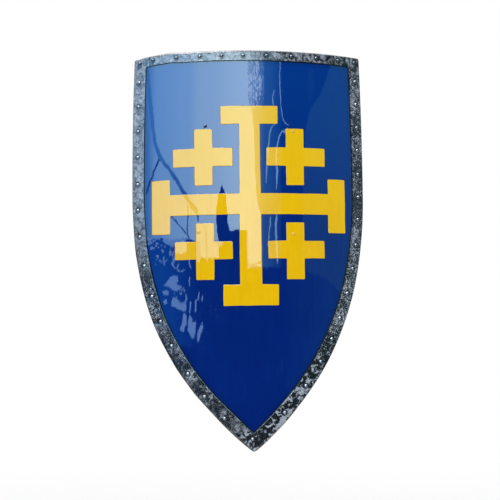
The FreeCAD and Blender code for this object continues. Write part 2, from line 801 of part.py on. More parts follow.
def tool_placement(point, along, across=0.0):
    """Local Z square to the leather, local X across it and local Y along the path."""
    forward = in_strap(along)
    square = Vector(1, 0, 0).cross(forward)
    return Placement(in_strap(point, across), Rotation(Vector(1, 0, 0), forward, square, "ZXY"))


def drill_through(label, point, along, radius_cells):
    drill = cylinder(label, radius_cells, "2 * Sizes.overrun", tool_placement(point, along))
    drill.Placement = drill.Placement.multiply(
        Placement(Vector(0, 0, -mm("overrun")), Rotation()))
    return drill


def round_end_tool(label, path, at_start):
    """What is cut away to leave a half round strap end."""
    half = mm("strap_width") / 2
    point, along = path.at(0.0) if at_start else (path.pieces[-1][2], path.pieces[-1][3])
    outward = along * -1 if at_start else along
    place = tool_placement(point - outward * half, outward)
    block = doc.addObject("Part::Box", label + "_block")
    block.setExpression("Length", "Sizes.strap_width + 2 * Sizes.overrun")
    block.setExpression("Width", "Sizes.strap_width / 2 + Sizes.overrun")
    block.setExpression("Height", "2 * Sizes.overrun")
    block.Placement = place.multiply(
        Placement(Vector(-half - mm("overrun"), 0, -mm("overrun")), Rotation()))
    disc = cylinder(label + "_disc", "Sizes.strap_width / 2", "4 * Sizes.overrun")
    disc.Placement = place.multiply(Placement(Vector(0, 0, -2 * mm("overrun")), Rotation()))
    return cut(label, block, disc)


class Loop:
    """One strap loop from rivet to rivet: its frame on the face and the corners of its path."""

    def __init__(self, upper, lower, flank_angle, crown_radius):
        radius = mm("face_radius")
        middle_across = (upper[0] + lower[0]) / 2
        middle_down = (upper[1] + lower[1]) / 2
        lean = math.atan2(upper[0] - lower[0], lower[1] - upper[1])
        self.turn = middle_across / radius
        self.frame = Placement(Vector(0, AXIS_Y, 0),
                               Rotation(Vector(0, 0, 1), math.degrees(self.turn)))
        self.frame = self.frame.multiply(
            Placement(Vector(0, -INNER_RADIUS, TOP_Z - middle_down),
                      Rotation(Vector(0, 1, 0), math.degrees(lean))))
        self.half_span = math.hypot(upper[0] - lower[0], lower[1] - upper[1]) / 2
        self.angle = math.radians(flank_angle)
        self.crown_radius = crown_radius
        self.seat = strap_seat([upper, lower]) + mm("strap_thickness") / 2
        bend = mm("strap_bend_radius") * math.tan(self.angle / 2)
        self.bend_up = self.half_span - mm("strap_bend_after_rivet") - bend
        self.apex_out = self.seat + self.bend_up * math.tan(self.angle)
        self.down_flank = Vector(math.cos(self.angle), -math.sin(self.angle), 0)
        self.off_flank = Vector(math.sin(self.angle), math.cos(self.angle), 0)
        crown_reach = crown_radius / math.tan(math.pi / 2 - self.angle)
        self.flank_start = Vector(0, self.apex_out, 0) + self.down_flank * crown_reach

    def end_up(self):
        return self.half_span + mm("strap_end_tail")

    def on_flank(self, along, off):
        """Point on the upper flank: down it from the crown's curve, and off it outwards."""
        return self.flank_start + self.down_flank * along + self.off_flank * off

    def place(self, item):
        """Puts a piece that was made in the strap's frame on the shield."""
        item.Placement = self.frame.multiply(item.Placement)
        return item


def forearm_loop():
    return Loop(*forearm_rivet_places(), mm("forearm_flank_angle"), mm("forearm_crown_radius"))


def hand_loop():
    return Loop(*hand_rivet_places(), mm("hand_flank_angle"), mm("hand_crown_radius"))


# Buckle stack on the upper flank of the forearm loop: heights off the strap's middle layer.

BAR_OFF = mm("roller_radius") + mm("strap_fit") + mm("strap_thickness") / 2
FOLD_RADIUS = mm("buckle_wire_radius") + mm("strap_fit") / 2 + mm("strap_thickness") / 2
LOWER_LAYER_OFF = BAR_OFF - FOLD_RADIUS
RETURN_LAYER_OFF = LOWER_LAYER_OFF + mm("strap_thickness") + mm("strap_fit") / 2
WRAP_RADIUS = FOLD_RADIUS + mm("strap_thickness") + mm("strap_fit")
TAIL_OFF = RETURN_LAYER_OFF + mm("strap_thickness") + mm("strap_fit")
FRONT_ALONG = mm("buckle_from_crown")
HEEL_ALONG = FRONT_ALONG + mm("buckle_length")
ROLLER_WRAP = BAR_OFF
BILLET_RISE = math.asin((ROLLER_WRAP + WRAP_RADIUS) / mm("buckle_length"))
SETTLE_ALONG = 4 * mm("strap_thickness")


def corner_on(loop, along, off, radius):
    point = loop.on_flank(along, off)
    return (point.x, point.y, radius)


def chape_path(loop):
    """From the upper rivet down the flank, round the heel bar and back on itself."""
    seat = loop.seat
    flank = loop.on_flank(0.0, LOWER_LAYER_OFF)
    steps = (flank.y - seat) / math.sin(loop.angle)
    bend = flank + loop.down_flank * steps
    fold = HEEL_ALONG - FOLD_RADIUS
    top = BAR_OFF + FOLD_RADIUS
    settle = SETTLE_ALONG
    return StrapPath([
        (loop.end_up(), seat),
        (bend.x, bend.y, mm("strap_bend_radius") - LOWER_LAYER_OFF),
        corner_on(loop, fold, LOWER_LAYER_OFF, FOLD_RADIUS),
        corner_on(loop, fold, top, FOLD_RADIUS),
        corner_on(loop, HEEL_ALONG + mm("strap_thickness") / 2, top, settle / 2),
        corner_on(loop, HEEL_ALONG + mm("strap_thickness") / 2 + settle * 2 / 3,
                  RETURN_LAYER_OFF, settle / 2),
        corner_on(loop, HEEL_ALONG + mm("chape_return_end"), RETURN_LAYER_OFF, 0.0)])


def billet_path(loop):
    """From the lower rivet over the arm, under the roller, over the heel bar to its tip."""
    seat = loop.seat
    half_rise = math.tan(BILLET_RISE / 2)
    over = BAR_OFF + WRAP_RADIUS
    settle = SETTLE_ALONG
    return StrapPath([
        (-loop.end_up(), seat),
        (-loop.bend_up, seat, mm("strap_bend_radius")),
        (0.0, loop.apex_out, loop.crown_radius),
        corner_on(loop, FRONT_ALONG + ROLLER_WRAP * half_rise, 0.0, ROLLER_WRAP),
        corner_on(loop, HEEL_ALONG - WRAP_RADIUS * half_rise, over, WRAP_RADIUS),
        corner_on(loop, HEEL_ALONG + mm("strap_thickness"), over, settle / 2),
        corner_on(loop, HEEL_ALONG + mm("strap_thickness") + settle * 2 / 3, TAIL_OFF, settle / 2),
        corner_on(loop, HEEL_ALONG + mm("billet_tail_end"), TAIL_OFF, 0.0)])


def flank_placement(loop, along, off):
    """Local X across the strap, local Y off the flank and local Z down it."""
    off_flank = in_strap(loop.off_flank)
    down = in_strap(loop.down_flank)
    return Placement(in_strap(loop.on_flank(along, off)),
                     Rotation(Vector(1, 0, 0), off_flank, down, "ZXY"))


def rivet_holes(label, loop, ends):
    """Holes for the rivets at the strap ends, in the strap's own frame."""
    drills = []
    for number, end in enumerate(ends, start=1):
        drills.append(drill_through("%s_%d" % (label, number),
                                    Vector(end * loop.half_span, loop.seat, 0), Vector(1, 0, 0),
                                    "Sizes.strap_rivet_shank_radius + Sizes.strap_hole_clearance"))
    return drills


def prong_slope():
    """Angle of the tongue to the flank, from the heel bar up to its rest on the roller."""
    rise = mm("roller_radius") + mm("strap_fit") + mm("prong_radius")
    return math.asin(rise / mm("buckle_length"))


def billet_crossing(lift):
    """How far down the flank, and how high off it, the tongue crosses the billet."""
    slope = math.tan(prong_slope() + lift)
    rise = math.tan(BILLET_RISE)
    start = FRONT_ALONG + ROLLER_WRAP * math.tan(BILLET_RISE / 2)
    along = (BAR_OFF + HEEL_ALONG * slope + start * rise) / (rise + slope)
    return along, (along - start) * rise


def oval_hole(label, first, second, along):
    """Slot through the leather between two points of its middle layer."""
    pieces = []
    for number, point in enumerate((first, second), start=1):
        pieces.append(drill_through("%s_end_%d" % (label, number), point, along,
                                    "Sizes.prong_radius + Sizes.prong_side_gap"))
    block = doc.addObject("Part::Box", label + "_middle")
    block.setExpression("Length", "2 * (Sizes.prong_radius + Sizes.prong_side_gap)")
    block.Width = (second - first).Length
    block.setExpression("Height", "2 * Sizes.overrun")
    half = mm("prong_radius") + mm("prong_side_gap")
    block.Placement = tool_placement(first, along).multiply(
        Placement(Vector(-half, 0, -mm("overrun")), Rotation()))
    return fuse(label, pieces + [block])


def make_forearm_billet(loop):
    path = billet_path(loop)
    rising = (loop.down_flank * math.cos(BILLET_RISE) + loop.off_flank * math.sin(BILLET_RISE))
    rest_along, rest_off = billet_crossing(0.0)
    lift_along, lift_off = billet_crossing(math.radians(mm("prong_lift")))
    cut_angle = BILLET_RISE + prong_slope()
    spread = (mm("prong_radius") / math.sin(cut_angle)
              + mm("strap_thickness") / 2 / math.tan(cut_angle)
              + mm("strap_fit") - mm("prong_radius"))
    first = loop.on_flank(rest_along, rest_off) - rising * spread
    second = loop.on_flank(lift_along, lift_off) + rising * spread
    tools = [oval_hole("billet_used_hole", first, second, rising)]
    used = path.travel_to(loop.on_flank(rest_along, rest_off))
    for step in range(-SPARE_HOLES_BEFORE, SPARE_HOLES_AFTER + 1):
        if step == 0:
            continue
        point, along = path.at(used + step * mm("billet_hole_pitch"))
        tools.append(drill_through("billet_hole_%d" % (step + SPARE_HOLES_BEFORE + 1), point, along,
                                   cell("billet_hole_radius")))
    tools += rivet_holes("billet_rivet_hole", loop, (-1,))
    tools.append(round_end_tool("billet_foot_end", path, True))
    tools.append(round_end_tool("billet_tip_end", path, False))
    strap = strap_width_ribbon("billet_blank", path)
    return loop.place(cut("forearm_billet", strap, compound("billet_cuts", tools)))


def make_forearm_chape(loop):
    path = chape_path(loop)
    slot = doc.addObject("Part::Box", "chape_slot")
    slot.setExpression("Length", "Sizes.prong_eye_width + 2 * Sizes.prong_side_gap")
    slot.setExpression("Width", "4 * Sizes.overrun")
    slot.setExpression("Height", "Sizes.buckle_wire_radius + Sizes.strap_thickness"
                       " + Sizes.prong_eye_radius + 3 * Sizes.strap_fit")
    reach = mm("buckle_wire_radius") + mm("strap_thickness") + 2 * mm("strap_fit")
    half = mm("prong_eye_width") / 2 + mm("prong_side_gap")
    slot.Placement = flank_placement(loop, HEEL_ALONG, BAR_OFF).multiply(
        Placement(Vector(-half, -2 * mm("overrun"), -reach), Rotation()))
    tools = [slot] + rivet_holes("chape_rivet_hole", loop, (1,))
    tools.append(round_end_tool("chape_foot_end", path, True))
    strap = strap_width_ribbon("chape_blank", path)
    return loop.place(cut("forearm_chape", strap, compound("chape_cuts", tools)))


def make_buckle_frame(loop):
    """Round wire bent to a rectangle: heel bar and front bar, and two thicker side bars."""
    reach = mm("strap_width") / 2 + mm("buckle_side_gap") + mm("buckle_side_wire_radius")
    bars = []
    for name, along in (("front", 0.0), ("heel", mm("buckle_length"))):
        bar = cylinder("buckle_%s_bar" % name, cell("buckle_wire_radius"),
                       "Sizes.strap_width + 2 * Sizes.buckle_side_gap"
                       " + 2 * Sizes.buckle_side_wire_radius")
        bar.Placement = Placement(Vector(-reach, 0, along), Rotation(Vector(0, 1, 0), 90))
        bars.append(bar)
    for name, side in (("left", -1), ("right", 1)):
        bar = cylinder("buckle_%s_side" % name, cell("buckle_side_wire_radius"),
                       cell("buckle_length"))
        bar.Placement = Placement(Vector(side * reach, 0, 0), Rotation())
        bars.append(bar)
        for end, along in (("front", 0.0), ("heel", mm("buckle_length"))):
            knuckle = doc.addObject("Part::Sphere", "buckle_%s_%s_corner" % (name, end))
            knuckle.setExpression("Radius", cell("buckle_side_wire_radius"))
            knuckle.Placement = Placement(Vector(side * reach, 0, along), Rotation())
            bars.append(knuckle)
    frame = fuse("buckle_frame", bars)
    frame.Placement = flank_placement(loop, FRONT_ALONG, BAR_OFF)
    return loop.place(frame)


def make_buckle_roller(loop):
    roller = ring_body("buckle_roller", "YZ_Plane",
                       (("outside", cell("roller_radius"), mm("roller_radius")),
                        ("bore", "Sizes.buckle_wire_radius + Sizes.roller_clearance",
                         mm("buckle_wire_radius") + mm("roller_clearance"))),
                       cell("roller_length"))
    roller.Placement = flank_placement(loop, FRONT_ALONG, BAR_OFF)
    return loop.place(roller)


def make_buckle_prong(loop):
    """Eye on the heel bar and a round tongue that rests on the roller."""
    eye = cylinder("prong_eye", cell("prong_eye_radius"), cell("prong_eye_width"))
    bore = cylinder("prong_bore", "Sizes.buckle_wire_radius + Sizes.roller_clearance",
                    "Sizes.prong_eye_width + 2 * Sizes.overrun")
    eye.Placement = Placement(Vector(-mm("prong_eye_width") / 2, 0, 0),
                              Rotation(Vector(0, 1, 0), 90))
    bore.Placement = Placement(Vector(-mm("prong_eye_width") / 2 - mm("overrun"), 0, 0),
                               Rotation(Vector(0, 1, 0), 90))
    slope = math.degrees(prong_slope())
    tongue = cylinder("prong_tongue", cell("prong_radius"),
                      "Sizes.buckle_length + Sizes.prong_overhang")
    tip = doc.addObject("Part::Sphere", "prong_tip")
    tip.setExpression("Radius", cell("prong_radius"))
    tip.Placement = Placement(Vector(0, 0, mm("buckle_length") + mm("prong_overhang")), Rotation())
    turned = Placement(Vector(0, 0, 0), Rotation(Vector(1, 0, 0), 180 + slope))
    for item in (tongue, tip):
        item.Placement = turned.multiply(item.Placement)
    prong = cut("buckle_prong", fuse("prong_solid", [eye, tongue, tip]), bore)
    prong.Placement = flank_placement(loop, HEEL_ALONG, BAR_OFF)
    return loop.place(prong)


def make_strap_keeper(loop):
    """Leather loop round the folded chape and the strap's tail."""
    fit = mm("strap_fit")
    low = LOWER_LAYER_OFF - mm("strap_thickness") / 2 - fit
    high = TAIL_OFF + mm("strap_thickness") / 2 + fit
    inner_wide = "Sizes.strap_width + 2 * Sizes.strap_fit"
    inner_high = ("3 * Sizes.strap_thickness + 3.5 * Sizes.strap_fit")
    body = doc.addObject("PartDesign::Body", "strap_keeper")
    body.Label = "strap_keeper"
    sketch = sketch_on(body, "keeper_sketch", "XY_Plane")
    add_rectangle(sketch, "inside", inner_wide, inner_high,
                  mm("strap_width") + 2 * fit, high - low)
    add_rectangle(sketch, "outside", inner_wide + " + 2 * Sizes.keeper_thickness",
                  inner_high + " + 2 * Sizes.keeper_thickness",
                  mm("strap_width") + 2 * fit + 2 * mm("keeper_thickness"),
                  high - low + 2 * mm("keeper_thickness"))
    pad = body.newObject("PartDesign::Pad", "keeper_pad")
    pad.Profile = sketch
    pad.SideType = "Symmetric"
    pad.setExpression("Length", cell("keeper_width"))
    body.Placement = flank_placement(loop, HEEL_ALONG + mm("keeper_from_heel"), (low + high) / 2)
    return loop.place(body)


def make_hand_strap(loop):
    path = hand_path(loop)
    tools = rivet_holes("hand_rivet_hole", loop, (-1, 1))
    tools.append(round_end_tool("hand_lower_end", path, True))
    tools.append(round_end_tool("hand_upper_end", path, False))
    strap = strap_width_ribbon("hand_blank", path)
    return loop.place(cut("hand_strap", strap, compound("hand_cuts", tools)))


def hand_path(loop):
    bend = mm("strap_bend_radius")
    return StrapPath([(-loop.end_up(), loop.seat), (-loop.bend_up, loop.seat, bend),
                      (0.0, loop.apex_out, loop.crown_radius),
                      (loop.bend_up, loop.seat, bend), (loop.end_up(), loop.seat)])


def make_hand_grip(loop):
    """Thick leather sleeve round the crown of the hand strap."""
    first = loop.on_flank(mm("grip_flank"), 0.0)
    path = StrapPath([(-first.x, first.y), (0.0, loop.apex_out, loop.crown_radius),
                      (first.x, first.y)])
    spine = feature("grip_spine",
                    Part.Wire([edge_of(*piece, 0.0) for piece in path.offset_curve(0.0)]))
    start, along = path.at(0.0)
    section = feature("grip_section", rounded_section(mm("grip_width"), mm("grip_thickness"),
                                                      mm("grip_edge_radius")),
                      tool_placement(start, along).multiply(
                          Placement(Vector(0, 0, 0), Rotation(Vector(1, 0, 0), 90))))
    sweep = doc.addObject("Part::Sweep", "grip_solid")
    sweep.Sections = [section]
    sweep.Spine = (spine, ["Edge%d" % number for number in range(1, len(spine.Shape.Edges) + 1)])
    sweep.Solid = True
    gap = mm("grip_slot_gap")
    longer = loop.on_flank(mm("grip_flank") + mm("overrun"), 0.0)
    slot_path = StrapPath([(-longer.x, longer.y), (0.0, loop.apex_out, loop.crown_radius),
                           (longer.x, longer.y)])
    slot = ribbon("grip_slot", slot_path, mm("strap_thickness") + 2 * gap,
                  "Sizes.strap_width + 2 * Sizes.grip_slot_gap", mm("strap_width") + 2 * gap)
    return loop.place(cut("hand_grip_sleeve", sweep, slot))


def rounded_section(wide, thick, corner):
    """Closed wire of a rounded rectangle in the XY plane, about its middle."""
    x = wide / 2 - corner
    y = thick / 2 - corner
    edges = [Part.LineSegment(Vector(-x, -y - corner, 0), Vector(x, -y - corner, 0)).toShape(),
             Part.LineSegment(Vector(x + corner, -y, 0), Vector(x + corner, y, 0)).toShape(),
             Part.LineSegment(Vector(x, y + corner, 0), Vector(-x, y + corner, 0)).toShape(),
             Part.LineSegment(Vector(-x - corner, y, 0), Vector(-x - corner, -y, 0)).toShape()]
    for side, up, first in ((x, -y, 270), (x, y, 0), (-x, y, 90), (-x, -y, 180)):
        arc = Part.makeCircle(corner, Vector(side, up, 0), Vector(0, 0, 1), first, first + 90)
        edges.append(arc)
    return Part.Wire(Part.__sortEdges__(edges))


def check_document(parts):
    """Stops before anything is written when an object failed or a sub-part is not sound."""
    for item in doc.Objects:
        if "Invalid" in item.State or "Error" in item.State:
            raise RuntimeError("failed: %s %s" % (item.Label, item.State))
    for part in parts:
        shape = part.Shape
        if shape.isNull() or not shape.isValid() or not shape.Solids:
            raise RuntimeError("not a sound solid: " + part.Label)
        if min(solid.Volume for solid in shape.Solids) <= 0:
            raise RuntimeError("inside out: " + part.Label)


def main():
    forearm = forearm_loop()
    hand = hand_loop()
    parts = [make_face_panel(),
             make_paint("cross_potent_paint", [cross_potent_corners()]),
             make_crosslets_paint()]
    parts += make_rim()
    parts += make_rim_rivets()
    for name, places in (("forearm", forearm_rivet_places()), ("hand", hand_rivet_places())):
        parts.append(make_strap_rivets(name, places))
        parts.append(make_strap_washers(name, places))
    parts += [make_forearm_chape(forearm), make_forearm_billet(forearm),
              make_buckle_frame(forearm), make_buckle_prong(forearm),
              make_buckle_roller(forearm), make_strap_keeper(forearm),
              make_hand_strap(hand), make_hand_grip(hand)]
    doc.recompute()
    check_document(parts)
    os.makedirs("parts", exist_ok=True)
    for part in parts:
        part.Shape.exportStep(os.path.join("parts", part.Label + ".step"))
        print("%-24s %2d solids %12.1f mm3" % (part.Label, len(part.Shape.Solids),
                                               part.Shape.Volume))
    return parts


main()
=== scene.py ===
"""Looks of the heater shield: fine pieces, finishes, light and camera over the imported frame."""
import math

import bmesh
import bpy
from mathutils import Matrix, Vector, noise


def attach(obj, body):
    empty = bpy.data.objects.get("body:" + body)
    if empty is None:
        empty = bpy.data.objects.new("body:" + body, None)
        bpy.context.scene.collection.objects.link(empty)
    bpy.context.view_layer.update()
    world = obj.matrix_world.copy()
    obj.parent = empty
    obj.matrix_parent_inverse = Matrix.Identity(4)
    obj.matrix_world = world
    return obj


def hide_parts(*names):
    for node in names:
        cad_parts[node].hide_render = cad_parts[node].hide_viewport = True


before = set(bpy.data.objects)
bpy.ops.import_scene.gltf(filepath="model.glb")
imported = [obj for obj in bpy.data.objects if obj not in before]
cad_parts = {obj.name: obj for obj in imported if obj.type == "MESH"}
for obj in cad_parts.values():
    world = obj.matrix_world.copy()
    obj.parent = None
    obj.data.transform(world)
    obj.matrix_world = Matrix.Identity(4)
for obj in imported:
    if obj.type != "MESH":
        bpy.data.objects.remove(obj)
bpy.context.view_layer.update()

MM = 0.001

# Sizes of the part, in millimetres, as in its source.
HEIGHT = 711.0
HALF_TOP, HALF_MAX, SHOULDER = 219.5, 226.0, 258.0
FACE_RADIUS, PANEL = 368.0, 1.2
ARM_LINE_DOWN, ARM_LINE_BEHIND = 233.0, 48.0
CORNER_RADIUS, POINT_RADIUS, INNER_POINT_RADIUS = 3.5, 6.0, 2.5
RIM_SHEET, RIM_FIT = 1.2, 0.05
SIDE_WIDTH, TOP_WIDTH = 27.0, 18.5
SIDE_FLANGE, TOP_FLANGE = 21.0, 15.0
SEAM_ACROSS, SEAM_GAP = 187.0, 0.3
SIDE_RIVET_INSET, TOP_RIVET_INSET, POINT_RIVET_INSET = 13.0, 9.2, 21.8
RIVET_SEAT = 0.02
FOREARM_RIVETS = ((77.5, 144.6), (77.5, 328.6))
HAND_RIVETS = ((-79.9, 134.9), (-93.3, 324.4))
FOREARM_FLANK, FOREARM_CROWN = 66.0, 42.0
HAND_FLANK, HAND_CROWN = 50.0, 50.0
STRAP_WIDTH, STRAP_THICK, STRAP_FIT = 32.0, 2.8, 0.3
STRAP_TAIL, STRAP_FLAT, STRAP_BEND = 16.0, 14.0, 16.0
WIRE_RADIUS, ROLLER_RADIUS, TONGUE_RADIUS, TONGUE_GAP, TONGUE_LIFT = 1.75, 3.2, 1.5, 0.7, 10.0
BUCKLE_LENGTH, BUCKLE_FROM_CROWN = 25.0, 4.0
CHAPE_END, BILLET_END, HOLE_PITCH = 31.0, 31.5, 22.0
KEEPER_FROM_HEEL, KEEPER_THICK = 19.0, 2.0
GRIP_FLANK = 12.0

# Rim rivets: below the top edge as shares of the height, or across as shares of the half width.
LEFT_RIVET_SHARES = (0.017, 0.067, 0.129, 0.193, 0.259, 0.329, 0.395, 0.463,
                     0.537, 0.615, 0.678, 0.739, 0.808, 0.864, 0.918)
RIGHT_RIVET_SHARES = (0.013, 0.063, 0.122, 0.183, 0.242, 0.304, 0.363, 0.421,
                      0.487, 0.548, 0.611, 0.674, 0.726, 0.782, 0.841, 0.906)
TOP_RIVET_SHARES = (-0.793, -0.587, -0.392, -0.217, -0.048, 0.136, 0.338, 0.551, 0.753)

# Sizes that follow from them.
AXIS_Y = FACE_RADIUS - ARM_LINE_BEHIND
TOP_Z = ARM_LINE_DOWN
INNER_RADIUS = FACE_RADIUS - PANEL
RIM_UNDER = FACE_RADIUS + RIM_FIT
RIM_FRONT = RIM_UNDER + RIM_SHEET
RIM_OVER = INNER_RADIUS - RIM_FIT
RIM_BACK = RIM_OVER - RIM_SHEET
CURVE_DROP = HEIGHT - POINT_RADIUS - SHOULDER
SIDE_RADIUS = ((HALF_MAX ** 2 + CURVE_DROP ** 2 - POINT_RADIUS ** 2)
               / (2 * (HALF_MAX - POINT_RADIUS)))
SIDE_CENTRE = HALF_MAX - SIDE_RADIUS

# How far the real outline strays from the pattern, as (below the top edge, shift to the right).
LEFT_CUT = ((300, 0.0), (370, -2.2), (480, -3.5), (560, -0.9), (600, 1.2), (645, 4.2), (711, 2.7))
RIGHT_CUT = ((330, 0.0), (430, 1.0), (540, 0.0), (630, -1.4), (670, 0.2), (711, 2.7))
# How far the left top corner hangs, as (distance from the middle, drop).
CORNER_DROP = ((120, 0.0), (144, -1.3), (162, 0.0), (178, 1.0), (194, 2.2), (211, 4.6), (225, 5.6))
# Where the stray fades: inside the edge, across the middle, and below the top edge.
CUT_FADE, MIDDLE_FADE, DROP_FADE = (95.0, 40.0), (-25.0, 25.0), (80.0, 25.0)

# How deep the sheet lies under its radius, and its unevenness as (depth, size, seed, how fast it
# changes downward compared with across); then the rim's as (depth, size, seed).
SHEET_SUNK = 0.16
SHEET_WAVES = ((0.13, 95.0, 1, 0.22), (0.015, 30.0, 2, 0.3))
RIM_WAVES = ((0.13, 10.0, 3), (0.07, 4.6, 4), (0.10, 34.0, 5))
DENT, DENT_SPREAD, DENT_REACH = 0.06, 9.0, 30.0
HOLLOW, HOLLOW_EDGES = 0.20, (3.6, 7.5)


# Places on the rolled face: across and below the top edge, and radius from the roll axis.

def ease(value, low, high):
    """Smooth rise from 0 to 1 between low and high, or fall where low is the larger."""
    share = min(max((value - low) / (high - low), 0.0), 1.0)
    return share * share * (3 - 2 * share)


def between_marks(marks, place):
    """Smooth value at a place between marks of (place, value)."""
    for (here, low), (there, high) in zip(marks, marks[1:]):
        if place < there:
            return low + (high - low) * ease(place, here, there)
    return marks[-1][1]


def waves(across, down, size, seed):
    """Smooth unevenness between -1 and 1, of about that size in millimetres."""
    return noise.noise(Vector((across / size, down / size, seed * 7.3)))


def side_half(down, inset):
    """Half width of the outline that lies inset inside the shield's edge."""
    if down < SHOULDER:
        return HALF_MAX - inset - (HALF_MAX - HALF_TOP) * ((SHOULDER - down) / SHOULDER) ** 2
    reach = (SIDE_RADIUS - inset) ** 2 - (down - SHOULDER) ** 2
    return SIDE_CENTRE + math.sqrt(max(reach, 0.0))


def edge_distance(across, down):
    """Millimetres inside the pattern's side edge."""
    if down < SHOULDER:
        return side_half(down, 0.0) - abs(across)
    return SIDE_RADIUS - math.hypot(abs(across) - SIDE_CENTRE, down - SHOULDER)


def hand_cut(across, down):
    """The pattern's place moved as the real outline strays, near the edge only."""
    left, right = between_marks(LEFT_CUT, down), between_marks(RIGHT_CUT, down)
    side = left + (right - left) * ease(across, *MIDDLE_FADE)
    near = ease(side_half(down, 0.0) - abs(across), *CUT_FADE)
    drop = between_marks(CORNER_DROP, -across) * ease(down, *DROP_FADE)
    return across + side * near, down + drop


def on_roll(across, down, radius):
    """A place on the rolled sheet, in metres in the part's frame."""
    across, down = hand_cut(across, down)
    angle = across / FACE_RADIUS
    return Vector((radius * math.sin(angle), AXIS_Y - radius * math.cos(angle),
                   TOP_Z - down)) * MM


def rivet_places():
    """Places of all rivets in the rim."""
    places = [(-side_half(share * HEIGHT, SIDE_RIVET_INSET), share * HEIGHT)
              for share in LEFT_RIVET_SHARES]
    places += [(side_half(share * HEIGHT, SIDE_RIVET_INSET), share * HEIGHT)
               for share in RIGHT_RIVET_SHARES]
    places += [(share * HALF_MAX, TOP_RIVET_INSET) for share in TOP_RIVET_SHARES]
    return places + [(0.0, HEIGHT - POINT_RIVET_INSET)]


RIM_RIVETS = rivet_places()


def face_radius_at(across, down):
    """Radius of the painted sheet: rolled by hand, and dented where rivets draw it in."""
    radius = FACE_RADIUS - SHEET_SUNK
    for depth, size, seed, squeeze in SHEET_WAVES:
        radius += depth * waves(across, down * squeeze, size, seed)
    for place in FOREARM_RIVETS + HAND_RIVETS:
        gap = math.hypot(across - place[0], down - place[1])
        if gap < DENT_REACH:
            radius -= DENT * math.exp(-(gap / DENT_SPREAD) ** 2)
    return radius


def hollow(across, down):
    """How deep in a rivet's hollow a place on the rim lies, from 0 to 1."""
    nearest = min(math.hypot(across - u, down - t) for u, t in RIM_RIVETS)
    return 1 - ease(nearest, *HOLLOW_EDGES)


def rim_lift(across, down, inset):
    """Hammer marks on the rim strips, and the hollow that each rivet draws in them."""
    lift = sum(depth * waves(across, down, size, seed) for depth, size, seed in RIM_WAVES)
    lift -= HOLLOW * hollow(across, down)
    return lift * ease(inset, 0.0, 3.0)


# Pieces from vertices and faces.

def face_outward(mesh):
    """Turns all faces of a closed mesh to the outside."""
    shape = bmesh.new()
    shape.from_mesh(mesh)
    bmesh.ops.recalc_face_normals(shape, faces=shape.faces)
    shape.to_mesh(mesh)
    shape.free()


def slice_faces(shape, across, along):
    """Cuts a flat shape into strips at places across and along it, so that it can be bent."""
    for normal, places in ((Vector((1, 0, 0)), across), (Vector((0, 1, 0)), along)):
        for place in places:
            bmesh.ops.bisect_plane(shape, geom=shape.verts[:] + shape.edges[:] + shape.faces[:],
                                   plane_co=normal * place, plane_no=normal)


def make_piece(name, vertices, faces, finishes, body="shield", nodes=(),
               finish_of=None, crease=40.0, marks=None):
    """A piece from points and faces, with its finishes and the values that its points carry."""
    mesh = bpy.data.meshes.new(name)
    mesh.from_pydata([tuple(v) for v in vertices], [], faces)
    for label, values in (marks or {}).items():
        mesh.attributes.new(label, "FLOAT", "POINT").data.foreach_set("value", values)
    for finish in finishes:
        mesh.materials.append(finish)
    if finish_of:
        mesh.polygons.foreach_set("material_index", finish_of)
    face_outward(mesh)
    return dress(bpy.data.objects.new(name, mesh), body, nodes, crease)


def dress(piece, body, nodes, crease=40.0):
    """Links a piece, smooths it, and says what it rides on and stands for."""
    if piece.name not in bpy.context.scene.collection.objects:
        bpy.context.scene.collection.objects.link(piece)
    piece.data.shade_smooth()
    piece.data.set_sharp_from_angle(angle=math.radians(crease))
    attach(piece, body)
    if nodes:
        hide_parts(*nodes)
    return piece


def ring_faces(count, around, first=0, closed=False):
    """Quads between rings of as many vertices each, with an end face at both ends."""
    faces = []
    for ring in range(count if closed else count - 1):
        here = first + ring * around
        there = first + (ring + 1) % count * around
        for k in range(around):
            n = (k + 1) % around
            faces.append((here + k, here + n, there + n, there + k))
    if not closed:
        faces.append(tuple(first + k for k in range(around)))
        faces.append(tuple(first + (count - 1) * around + k for k in range(around)))
    return faces


# The enamelled sheet.

# The sheet's mesh, how far it lies inside the pattern's edge, and where it ends at the point.
SHEET_ROWS, SHEET_COLUMNS = 176, 112
SHEET_INSET, SHEET_BOTTOM, SHEET_THICK = 2.2, 706.5, 1.0


def make_face_sheet(enamel, bare_back):
    """The rolled sheet: enamel in front, plain paint behind and on its edge."""
    rows, columns = SHEET_ROWS, SHEET_COLUMNS
    front, back, clear = [], [], []
    for i in range(rows + 1):
        down = SHEET_INSET + (SHEET_BOTTOM - SHEET_INSET) * i / rows
        half = side_half(down, SHEET_INSET)
        for j in range(columns + 1):
            across = half * (2 * j / columns - 1)
            radius = face_radius_at(across, down)
            front.append(on_roll(across, down, radius))
            back.append(on_roll(across, down, radius - SHEET_THICK))
            clear.append(min(edge_distance(across, down) - SIDE_WIDTH, down - TOP_WIDTH))
    wide = columns + 1
    total = len(front)
    faces, finish_of = [], []
    for i in range(rows):
        for j in range(columns):
            a = i * wide + j
            faces.append((a, a + 1, a + wide + 1, a + wide))
            faces.append(tuple(total + k for k in (a, a + wide, a + wide + 1, a + 1)))
            finish_of += [0, 1]
    last = rows * wide
    border = list(range(wide)) + [i * wide + columns for i in range(1, rows + 1)]
    border += [last + j for j in range(columns - 1, -1, -1)]
    border += [i * wide for i in range(rows - 1, 0, -1)]
    for a, b in zip(border, border[1:] + border[:1]):
        faces.append((a, b, total + b, total + a))
        finish_of.append(1)
    return make_piece("face_sheet", front + back, faces, [enamel, bare_back],
                      nodes=["face_panel"], finish_of=finish_of,
                      marks={"clear_of_rim": clear * 2})


# The yellow figures: thin raised enamel with soft, slightly uneven hand-painted edges.

